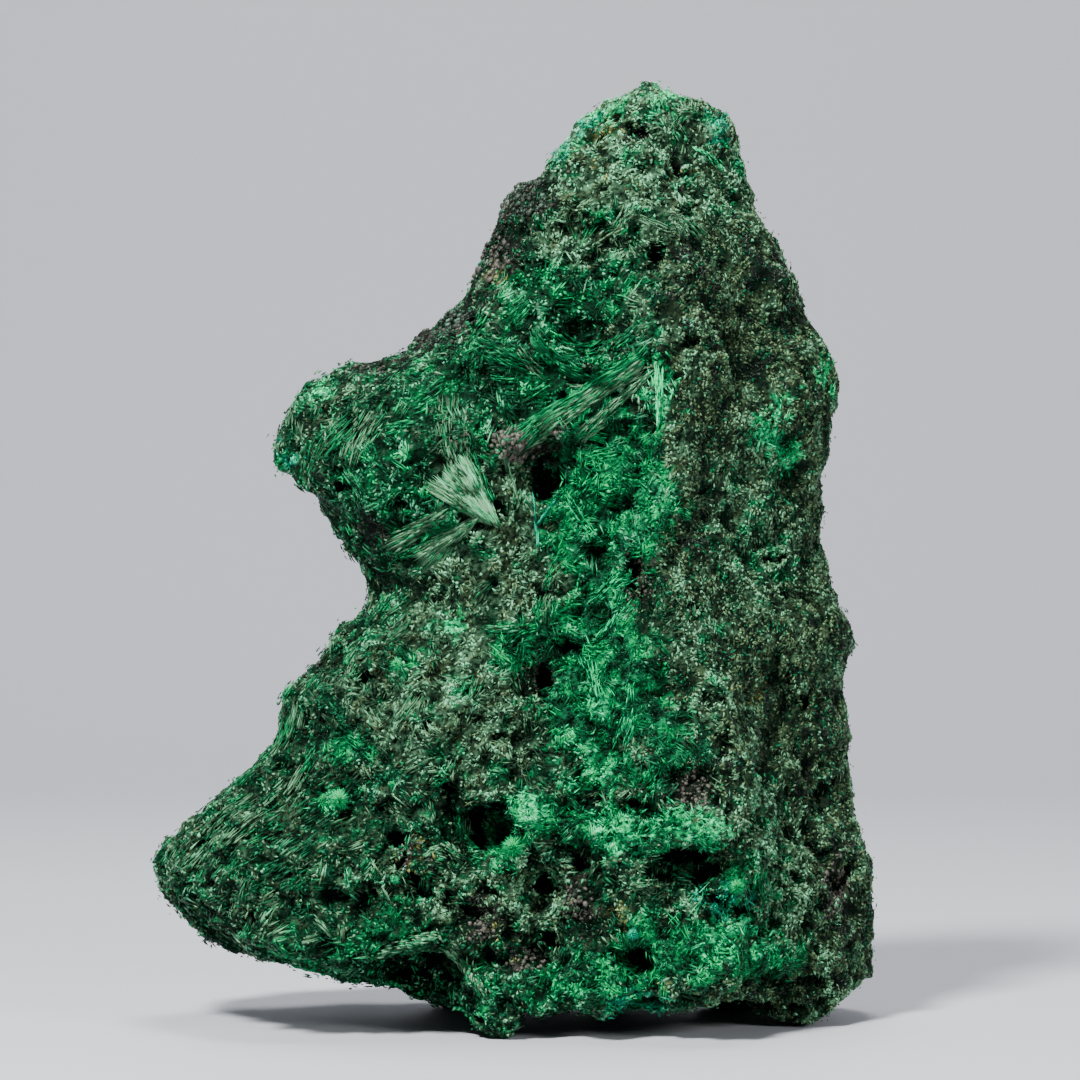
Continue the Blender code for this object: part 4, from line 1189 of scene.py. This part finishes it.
def crust_finish():
    """Crust in the colours written on its vertices, painted shade included, with fine grain whose dark
    and light flecks follow its bumps.
    """
    material, tree = new_material("crust")
    where = add_node(tree, "ShaderNodeTexCoord", {}, {}).outputs["Object"]
    ground = add_node(
        tree, "ShaderNodeAttribute", dict(attribute_name="ground colour"), {}).outputs[0]
    fine = add_node(tree, "ShaderNodeTexNoise", {}, {"Vector": where, "Scale": 2400.0, "Detail": 3.0})
    grain = Number(tree, fine.outputs[0])
    # Grain flecks and painted shade and light: where the bumps sink the crust falls towards near black,
    # where they rise it is lit brighter.
    dark = mixed(tree, 0.92, ground, CRUST_DARK)
    lit = add_node(tree, "ShaderNodeVectorMath", dict(operation="SCALE"), {0: ground, "Scale": 1.8})
    low = mixed(tree, grain.between(0.36, 0.52), dark, ground)
    colour = mixed(tree, grain.between(0.52, 0.68), low, lit.outputs[0])
    bumps = add_node(
        tree, "ShaderNodeBump", {}, {"Height": grain, "Strength": 1.0, "Distance": 0.0004})
    add_surface(tree, {
        "Base Color": colour, "Roughness": 0.7, "IOR": 1.4, "Specular IOR Level": 0.10,
        "Specular Tint": GREEN_SHINE, "Normal": bumps.outputs[0]})
    return material


# ---------------------------------------------------------------- pieces

# What the crust's operator makes for the others: its skin, the crystal forms and the finishes.
made = {}


def settings():
    return bpy.context.scene.malachite


def draws(step):
    """A source of random draws; each set of crystals has its own step."""
    return np.random.default_rng(settings().needles.seed + step)


def keep(obj, material):
    """Gives a finished piece its material and its place in the frame."""
    obj.data.materials.clear()
    obj.data.materials.append(material)
    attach(obj, "root")
    return obj


def grow_piece(name, form, finish, *sets):
    """Grows and keeps one piece of these sets of crystals, in this form and finish."""
    return keep(grow(name, made[form], joined_sets(sets)), made[finish])


def crust_body():
    """A copy of the frame's solid, merged, fused into an even skin and calmed."""
    bpy.ops.object.select_all(action="DESELECT")
    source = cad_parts[NODE]
    obj = bpy.data.objects.new("malachite_crust", source.data.copy())
    bpy.context.scene.collection.objects.link(obj)
    only_select(obj)
    bpy.ops.object.mode_set(mode="EDIT")
    bpy.ops.mesh.select_all(action="SELECT")
    bpy.ops.mesh.remove_doubles(threshold=0.002 * MM)
    bpy.ops.object.mode_set(mode="OBJECT")
    remesh = obj.modifiers.new("even skin", "REMESH")
    remesh.mode = "VOXEL"
    remesh.voxel_size = settings().crust.voxel
    calm = obj.modifiers.new("calm", "SMOOTH")
    calm.factor = 0.5
    calm.iterations = 8
    apply_modifiers(obj)
    return largest_island(obj)


def largest_island(obj):
    """Drops the stray flakes that fusing leaves beside the body."""
    only_select(obj)
    bpy.ops.mesh.separate(type="LOOSE")
    islands = sorted(bpy.context.selected_objects, key=lambda island: len(island.data.vertices))
    body = islands.pop()
    for flake in islands:
        bpy.data.objects.remove(flake, do_unlink=True)
    body.name = "malachite_crust"
    return body


def search_tree(points):
    tree = KDTree(len(points))
    for number, point in enumerate(points):
        tree.insert(point, number)
    tree.balance()
    return tree


def dented(points, centres, radii, depths):
    """How far each point moves for rounded dents (or, below 0, bumps) of these sizes."""
    tree = search_tree(points)
    move = np.zeros(len(points))
    for centre, radius, depth in zip(centres, radii, depths):
        found = tree.find_range(centre, radius)
        if not found:
            continue
        numbers = np.array([number for _, number, _ in found])
        away = np.array([distance for _, _, distance in found]) / radius
        shape = depth * (1 - away ** 2) ** 1.5
        move[numbers] = np.where(depth > 0, np.maximum(move[numbers], shape), move[numbers] + shape)
    return move


def cell_depth(points, count, chance):
    """Hollow cells with thin walls between them: how deep each point lies, from 0 to 1."""
    sites = points[chance.choice(len(points), count, replace=False)]
    depths = chance.uniform(0, 1, count) ** 1.6
    tree = search_tree(sites)
    own = np.zeros(len(points), int)
    apart = np.zeros(len(points))
    for number, point in enumerate(points):
        (_, nearest, first), (_, _, second) = tree.find_n(point, 2)
        own[number] = nearest
        apart[number] = second - first
    return depths[own] * smooth_step(apart, 0.25 * MM, 1.5 * MM)


def hole_depth(points, normals):
    """How deep the front's larger holes lie at each point, and how high their rims stand."""
    x = layered(points, (0.55, 1.5, 61), (0.45, 0.6, 63), start=points[:, 0] / MM)
    z = layered(points, (0.55, 1.5, 62), (0.45, 0.6, 64), start=points[:, 2] / MM)
    total = np.zeros(len(points))
    rim = np.zeros(len(points))
    for centre_x, centre_z, half_width, half_height, depth in HOLES:
        away = np.hypot((x - centre_x) / half_width, (z - centre_z) / half_height)
        total = np.maximum(total, depth * MM * (1 - smooth_step(away, 0.5, 1.0)))
        rim = np.maximum(rim, smooth_step(away, 0.9, 1.2) * (1 - smooth_step(away, 1.2, 1.8)))
    ahead = smooth_step(-normals[:, 1], 0.0, 0.4)
    return total * ahead, rim * ahead


def seen_scale(points):
    """How large things at each point look from the camera, against the middle's 1."""
    distance = settings().stage.distance
    return distance / (distance + points[:, 1])


def fit_outline(points):
    """Moves what lies near the outline, as seen from the camera, until it fills OUTLINE."""
    eye_height = settings().stage.height
    scale = seen_scale(points)
    flat = np.stack([points[:, 0] * scale, (points[:, 2] - eye_height) * scale + eye_height], axis=1)
    line = np.array(OUTLINE) * MM
    runs = np.diff(line, axis=0)
    lengths = np.linalg.norm(runs, axis=1)
    starts = np.concatenate([[0], np.cumsum(lengths)])
    away = np.full(len(points), np.inf)
    inside = np.zeros(len(points))
    place = np.zeros(len(points))
    outward = np.zeros((len(points), 2))
    for start, run, length, before in zip(line, runs, lengths, starts):
        share = np.clip((flat - start) @ run / length ** 2, 0, 1)
        offset = flat - start - share[:, None] * run
        distance = np.linalg.norm(offset, axis=1)
        out = np.array([-run[1], run[0]]) / length
        nearer = distance < away
        away[nearer] = distance[nearer]
        inside[nearer] = np.where(offset @ out > 0, -distance, distance)[nearer]
        place[nearer] = (before + share * length)[nearer]
        outward[nearer] = out
    step = np.minimum(place / OUTLINE_STEP, starts[-1] / OUTLINE_STEP - 1).astype(int)
    gap = np.full(step.max() + 1, 5 * MM)
    np.minimum.at(gap, step, inside)
    wide = np.pad(gap, 1, mode="edge")
    gap = 0.25 * wide[:-2] + 0.5 * wide[1:-1] + 0.25 * wide[2:]
    own_gap = np.interp(place / OUTLINE_STEP - 0.5, np.arange(len(gap)), gap)
    fade = 1 - smooth_step(inside - own_gap, 0, OUTLINE_FADE)
    ends = (place > 0.1 * MM) & (place < starts[-1] - 0.1 * MM)
    move = (own_gap + OUTLINE_EXCESS) * fade * ends / scale
    moved = points.copy()
    moved[:, 0] += outward[:, 0] * move
    moved[:, 2] += outward[:, 1] * move * smooth_step(points[:, 2], 0.1 * MM, 3 * MM)
    return moved


def above_underside(points):
    """Lifts what hangs below the front's lower edge, as seen from the camera."""
    eye_height = settings().stage.height
    scale = seen_scale(points)
    along, heights = zip(*UNDERSIDE)
    edge = np.interp(points[:, 0] * scale / MM, along, heights) * MM
    edge = edge + 0.25 * MM * clouds(points, 1.2 * MM, 67) * (edge > 0)
    lifted = points.copy()
    lifted[:, 2] = np.maximum(points[:, 2], eye_height + (edge - eye_height) / scale)
    return lifted


def lip_depth(points, normals):
    """How far the front falls back below its overhanging lips, in metres."""
    x = points[:, 0] / MM
    z = layered(points, (0.3, 1.0, 66), start=points[:, 2] / MM)
    total = np.zeros(len(points))
    for line, depth in LIPS:
        along, heights = zip(*line)
        below = np.interp(x, along, heights) - z
        ends = smooth_step(x, along[0] - 0.5, along[0] + 1.5)
        ends = ends * smooth_step(-x, -along[-1] - 0.5, -along[-1] + 1.5)
        total = np.maximum(total, depth * MM * smooth_step(below, 0.0, 0.7) * ends)
    return total * smooth_step(-normals[:, 1], -0.2, 0.4)


def wall_depth(points, triangles):
    """How far behind each vertex the crust's other side lies, up to THICK_WALL."""
    tree = BVHTree.FromPolygons(points.tolist(), triangles.tolist())
    depth = np.full(len(points), THICK_WALL)
    for number, (point, normal) in enumerate(zip(points, vertex_normals(points, triangles))):
        inward = Vector(-normal)
        *_, distance = tree.ray_cast(Vector(point) + inward * 0.01 * MM, inward, THICK_WALL)
        if distance is not None:
            depth[number] = distance
    return depth


def without_splinters(points, triangles, edges):
    """Draws thin splinters of the body back into its broad surface."""
    wall = wall_depth(points, triangles)[:, None]
    thin = averaged(1 - smooth_step(wall, 0.5 * MM, 1.4 * MM), edges, 3)
    broad = averaged(points, edges, 120)
    return points + (broad - points) * smooth_step(thin, 0.1, 0.5)


def roughen_crust(obj):
    """Sinks the crust under the crystals' tips and breaks it up into cells, lumps and holes.

    Returns how deep the holes lie at each vertex and how high their rims stand."""
    crust = settings().crust
    triangles = read_triangles(obj.data)
    edges = read_edges(obj.data)
    points = fit_outline(without_splinters(read_points(obj.data), triangles, edges))
    broad = vertex_normals(averaged(points, edges, 12), triangles)
    facing = broad[:, 1] < 0.1
    chance = draws(40)
    # Pits crowd where the ground is busy; lumps stand everywhere.
    busy = layered(points, (0.5, 7, 34), start=0.5)
    weights = (0.25 + busy) / (0.25 + busy).sum()
    pits = chance.choice(len(points), crust.pits, p=weights)
    pit_size = chance.uniform(0.5, 1.1, crust.pits) ** 1.4 * MM
    lumps = chance.choice(len(points), crust.lumps)
    lump_size = chance.uniform(0.6, 1.2, crust.lumps) * MM
    warp = np.stack([clouds(points, 1.3 * MM, 71 + k) for k in range(3)], axis=1) * 0.6 * MM
    move = -dented(points + warp, points[pits], pit_size, pit_size * chance.uniform(0.5, 1.2, crust.pits))
    move -= np.maximum(dented(points + warp, points[lumps], lump_size, -0.45 * lump_size), -0.6 * MM)
    # Cells are deepest low on the front.
    low_front = smooth_step(29 * MM - points[:, 2], 0, 6 * MM) * facing
    move -= cell_depth(points + 1.4 * warp, crust.cells, chance) * (0.6 + 1.0 * low_front) * MM
    bumps = layered(points, (0.7, 1.3, 31), (0.6, 0.75, 32))
    ridges = 0.5 - np.abs(clouds(points, 2.1 * MM, 33))
    move += crust.rough * (bumps + 0.8 * ridges)
    # The right-hand plane is plainer than the rest of the front.
    plain = smooth_step(points[:, 0], 13 * MM, 18 * MM) * smooth_step(points[:, 2], 22 * MM, 30 * MM)
    move *= 1 - 0.5 * plain * facing
    move -= crust.sunk
    hole, rim = hole_depth(points, broad)
    move += 0.45 * MM * rim
    # No dent goes through a thin wall.
    wall = averaged(wall_depth(points, triangles)[:, None], edges, 3)[:, 0]
    move = np.maximum(move, -0.35 * wall) + 0.3 * MM * (1 - smooth_step(wall, 0.5 * MM, 2 * MM))
    under = lip_depth(points, broad)
    at_foot = smooth_step(points[:, 2], 0.1 * MM, 1.6 * MM)
    points = points + broad * (move * (0.45 + 0.55 * seen_flat(broad)) * at_foot)[:, None]
    points[:, 1] += np.maximum(hole, under) * at_foot
    points = above_underside(points)
    points = np.clip(points, np.maximum(LOW_CORNER, (-1, -1, 0)), HIGH_CORNER)
    obj.data.vertices.foreach_set("co", points.astype(np.float32).ravel())
    obj.data.update()
    return np.maximum(hole, 0.55 * under), rim


def lay_out_crust(obj):
    """A UV map of six views, each face in the view that it looks towards."""
    mesh = obj.data
    points = read_points(mesh)
    corners = read(mesh.loops, "vertex_index", np.int32)
    starts = read(mesh.polygons, "loop_start", np.int32)
    counts = np.diff(np.append(starts, len(mesh.loops)))
    face = np.repeat(np.arange(len(starts)), counts)
    skin = Skin(obj)
    look = np.add.reduceat(skin.broad_normals[corners], starts, axis=0)
    low = points.min(axis=0)
    size = points.max(axis=0) - low
    # Columns of the sheet: front and back, left and right, bottom and top, as the axes that
    # each looks along, that run across it and that run up it. The columns hold two rows.
    along, across, up = np.array([(1, 0, 2), (0, 1, 2), (2, 0, 1)]).T
    widths = size[across]
    scale = (1 - 5 * ATLAS_GAP) / max(sum(widths), 2 * size[2])
    column = np.argmax(np.abs(look[:, along]) * np.array([1.0, 0.9, 0.9]), axis=1)
    ahead = look[np.arange(len(look)), along[column]] > 0
    uv = np.zeros((len(corners), 2))
    offset = ATLAS_GAP
    place = points[corners]
    for number in range(3):
        mine = column[face] == number
        u = (place[:, across[number]] - low[across[number]]) * scale + offset
        v = (place[:, up[number]] - low[up[number]]) * scale + ATLAS_GAP
        v = v + ahead[face] * (size[2] * scale + ATLAS_GAP)
        uv[mine] = np.stack([u, v], axis=1)[mine]
        offset += widths[number] * scale + ATLAS_GAP
    layer = mesh.uv_layers.new(name="OFBake")
    layer.uv.foreach_set("vector", uv.astype(np.float32).ravel())
    return skin


def colour_crust(obj, skin, hole):
    """Writes each vertex's colour: the ground's tones, with painted shade in the hollows, the gaps
    between crystals, the holes and under the lips.
    """
    tones = settings().tones
    chance = draws(41)
    palette = np.array([tuple(getattr(tones, name)) for name in TONES])
    colour = palette[drawn_tones(skin.kind, skin.points, chance)]
    lift = np.where(of_kinds(skin.kind, BRIGHT_GROUNDS), 1.5, 0.7)
    value = ground_values(skin.kind, "glow") * lift * mottled(skin.points) ** 0.7
    value = value * chance.uniform(0.3, 1.2, len(value))
    # Painted shade: darker in the hollows, in the bare gaps between crystals, and in the holes and under
    # the lips.
    value = value * (0.10 + 0.9 * scattered_shade(skin.height, skin.relief))
    value = value * (0.45 + 0.55 * gapped(skin.points))
    value = value * (1 - 0.85 * smooth_step(hole, 0.4 * MM, 1.6 * MM))
    colour = colour * np.clip(value, 0.01, 1.1)[:, None]
    layer = obj.data.attributes.new("ground colour", "FLOAT_COLOR", "POINT")
    four = np.concatenate([colour, np.ones((len(colour), 1))], axis=1)
    layer.data.foreach_set("color", four.astype(np.float32).ravel())


class MALACHITE_OT_crust(bpy.types.Operator):
    """Makes the rough crust that everything else grows on"""

    bl_idname = "malachite.crust"
    bl_label = "Crust"

    def execute(self, context):
        obj = crust_body()
        hole, rim = roughen_crust(obj)
        skin = lay_out_crust(obj)
        # The holes' rims count as higher relief, so their crystals crowd more and are painted lighter, as
        # painted light on the rims.
        skin.relief += 0.4 * MM * rim
        strayed = draws(42).normal(0, 0.6 * MM, skin.points.shape)
        skin.kind = ground_at(skin.points + strayed, skin.broad_normals, GROUND_SEED)
        skin.bare = 1 - 0.85 * under_sheaves(skin.points)
        skin.bare *= 1 - 0.6 * smooth_step(hole, 0.7 * MM, 2.0 * MM)
        colour_crust(obj, skin, hole)
        keep(obj, crust_finish())
        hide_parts(NODE)
        tones = settings().tones
        made.update(
            skin=skin, needle=crystal_form(3, 0.28), stub=crystal_form(3, 0.45), nodule=nodule_form(),
            silk=crystal_finish(tones, "silky_needles", 0.42),
            grain=crystal_finish(tones, "drusy_grains", 0.34))
        return {"FINISHED"}


class MALACHITE_OT_felt(bpy.types.Operator):
    """Grows the jumbled needles of the front"""

    bl_idname = "malachite.felt"
    bl_label = "Front Needles"

    def execute(self, context):
        skin, count = made["skin"], settings().needles.felt
        grow_piece("front_needles", "needle", "silk",
                   needle_sprays(skin, count, FRONT_GROUNDS, draws(0), skin.front))
        return {"FINISHED"}


class MALACHITE_OT_grains(bpy.types.Operator):
    """Grows the stubby crystals of the front"""

    bl_idname = "malachite.grains"
    bl_label = "Front Grains"

    def execute(self, context):
        skin, count = made["skin"], settings().needles.grains
        grow_piece("front_grains", "stub", "grain",
                   grains(skin, count, FRONT_GROUNDS, draws(7), skin.front))
        return {"FINISHED"}


class MALACHITE_OT_bright(bpy.types.Operator):
    """Grows the vivid, mint and teal crystals of the front"""

    bl_idname = "malachite.bright"
    bl_label = "Bright Crystals"

    def execute(self, context):
        skin, count = made["skin"], settings().needles.bright
        grow_piece("bright_crystals", "needle", "silk",
                   grains(skin, int(count * 0.34), BRIGHT_GROUNDS, draws(10), skin.front),
                   tufts(skin, int(count * 0.44), BRIGHT_GROUNDS, draws(9), skin.front),
                   needle_sprays(skin, int(count * 0.22), BRIGHT_GROUNDS, draws(1), skin.front))
        return {"FINISHED"}


class MALACHITE_OT_drusy(bpy.types.Operator):
    """Grows the drusy grains of the right-hand plane and of the brown patches"""

    bl_idname = "malachite.drusy"
    bl_label = "Drusy Grains"

    def execute(self, context):
        skin, count = made["skin"], settings().needles.drusy
        grow_piece("drusy_grains", "stub", "grain",
                   grains(skin, int(count * 0.85), DRUSY_GROUNDS, draws(2), skin.front),
                   needle_sprays(skin, int(count * 0.15), DRUSY_GROUNDS, draws(8), skin.front))
        return {"FINISHED"}


class MALACHITE_OT_fans(bpy.types.Operator):
    """Grows the fans, the bundles and the little balls"""

    bl_idname = "malachite.fans"
    bl_label = "Fans and Balls"

    def execute(self, context):
        skin, count = made["skin"], settings().needles.sheaves
        rows = [*SHEAVES, *loose_sheaves(skin, count, draws(12))]
        grow_piece("needle_fans", "needle", "silk",
                   sheaf_needles(Face(skin), rows, draws(3)), ball_needles(skin, BALLS, draws(4)))
        return {"FINISHED"}


class MALACHITE_OT_nodules(bpy.types.Operator):
    """Grows the dark and brown nodules"""

    bl_idname = "malachite.nodules"
    bl_label = "Nodules"

    def execute(self, context):
        obj = grow_piece("nodules", "nodule", "grain", nodules(made["skin"], NODULES, draws(9)))
        obj.data.shade_smooth()
        return {"FINISHED"}


class MALACHITE_OT_rear(bpy.types.Operator):
    """Grows the crystals of the back, the sides and the underside"""

    bl_idname = "malachite.rear"
    bl_label = "Rear Crystals"

    def execute(self, context):
        skin, count = made["skin"], settings().needles.rear
        behind = 1 - skin.front
        grow_piece("rear_crystals", "stub", "grain",
                   grains(skin, int(count * 0.8), GROUND_NAMES, draws(5), behind, REAR_LIFT),
                   needle_sprays(skin, int(count * 0.2), GROUND_NAMES, draws(6), behind, REAR_LIFT))
        return {"FINISHED"}


# ---------------------------------------------------------------- stage

SWEEP_START = 0.64
SWEEP_RADIUS = 0.30
SWEEP_HEIGHT = 1.1
FLOOR_HALF = 1.3
AIM = Vector((0.0026, 0.0, 0.0482))
SENSOR_WIDTH = 36
# Each light's name, place, power in watts, size and the height over the origin it points at.
LIGHTS = (
    ("key", (-0.20, -0.42, 0.50), 14.0, 0.11, 0.05),
    ("fill", (0.45, -0.50, 0.30), 3.2, 0.20, 0.05),
    ("top", (0.02, 0.10, 0.60), 3.5, 0.20, 0.04),
)


def floor_finish(colour):
    material, tree = new_material("floor")
    add_surface(tree, {"Base Color": opaque(colour), "Roughness": 0.6})
    return material


def make_floor(colour):
    """A pale sheet that runs back from the floor into a backdrop."""
    bpy.ops.object.select_all(action="DESELECT")
    bpy.ops.mesh.primitive_plane_add(size=1)
    obj = bpy.context.active_object
    obj.name = "floor"
    depth = FLOOR_HALF + SWEEP_START
    obj.scale = (2 * FLOOR_HALF, depth, 1)
    obj.location = (0, SWEEP_START - depth / 2, 0)
    bpy.ops.object.transform_apply(location=True, rotation=True, scale=True)
    for edge in obj.data.edges:
        ends = [obj.data.vertices[number].co.y for number in edge.vertices]
        edge.select = min(ends) > SWEEP_START - 0.001
    for vertex in obj.data.vertices:
        vertex.select = vertex.co.y > SWEEP_START - 0.001
    bpy.ops.object.mode_set(mode="EDIT")
    bpy.ops.mesh.select_mode(type="EDGE")
    bpy.ops.mesh.extrude_region_move(TRANSFORM_OT_translate=dict(value=(0, 0, SWEEP_HEIGHT)))
    bpy.ops.object.mode_set(mode="OBJECT")
    curve = obj.modifiers.new("sweep", "BEVEL")
    curve.width = SWEEP_RADIUS
    curve.segments = 12
    apply_modifiers(obj)
    bpy.ops.object.shade_smooth()
    obj.data.materials.append(floor_finish(colour))


def add_light(name, place, power, size, aim_height):
    bpy.ops.object.light_add(type="AREA", location=place)
    obj = bpy.context.active_object
    obj.name = name
    obj.data.energy = power
    obj.data.size = size
    way = Vector((0, 0, aim_height)) - Vector(place)
    obj.rotation_euler = way.to_track_quat("-Z", "Y").to_euler()


def add_camera(stage):
    place = Vector((AIM.x, -stage.distance, stage.height))
    bpy.ops.object.camera_add(location=place)
    obj = bpy.context.active_object
    obj.rotation_euler = (AIM - place).to_track_quat("-Z", "Y").to_euler()
    obj.data.sensor_width = SENSOR_WIDTH
    obj.data.lens = SENSOR_WIDTH * stage.distance / stage.view_width
    obj.data.clip_start = 0.01
    bpy.context.scene.camera = obj


class MALACHITE_OT_stage(bpy.types.Operator):
    """Lays the floor, hangs the lights and sets the camera"""

    bl_idname = "malachite.stage"
    bl_label = "Stage"

    def execute(self, context):
        stage = settings().stage
        make_floor(stage.floor)
        for light in LIGHTS:
            add_light(*light)
        world = bpy.data.worlds.new("studio")
        world.use_nodes = True
        background = world.node_tree.nodes["Background"]
        background.inputs[0].default_value = (0.93, 0.96, 1.0, 1.0)
        background.inputs[1].default_value = 0.12
        context.scene.world = world
        add_camera(stage)
        return {"FINISHED"}


# ---------------------------------------------------------------- add-on


class MalachiteSettings(bpy.types.PropertyGroup):
    crust: PointerProperty(type=CrustSettings)
    needles: PointerProperty(type=NeedleSettings)
    tones: PointerProperty(type=ToneSettings)
    stage: PointerProperty(type=StageSettings)


class MALACHITE_PT_panel(bpy.types.Panel):
    """Lists the specimen's pieces"""

    bl_idname = "MALACHITE_PT_panel"
    bl_label = "Malachite Specimen"
    bl_space_type = "VIEW_3D"
    bl_region_type = "UI"
    bl_category = "Malachite"

    def draw(self, context):
        for operator in OPERATORS:
            self.layout.operator(operator.bl_idname)


OPERATORS = (
    MALACHITE_OT_crust, MALACHITE_OT_grains, MALACHITE_OT_felt, MALACHITE_OT_bright,
    MALACHITE_OT_drusy, MALACHITE_OT_fans, MALACHITE_OT_nodules, MALACHITE_OT_rear,
    MALACHITE_OT_stage,
)
CLASSES = (
    CrustSettings, NeedleSettings, ToneSettings, StageSettings, MalachiteSettings,
    *OPERATORS, MALACHITE_PT_panel,
)


def register():
    for cls in CLASSES:
        bpy.utils.register_class(cls)
    bpy.types.Scene.malachite = PointerProperty(type=MalachiteSettings)


def unregister():
    del bpy.types.Scene.malachite
    for cls in reversed(CLASSES):
        bpy.utils.unregister_class(cls)


def main():
    register()
    bpy.ops.malachite.crust()
    bpy.ops.malachite.grains()
    bpy.ops.malachite.felt()
    bpy.ops.malachite.bright()
    bpy.ops.malachite.drusy()
    bpy.ops.malachite.fans()
    bpy.ops.malachite.nodules()
    bpy.ops.malachite.rear()
    bpy.ops.malachite.stage()


if __name__ == "__main__":
    main()
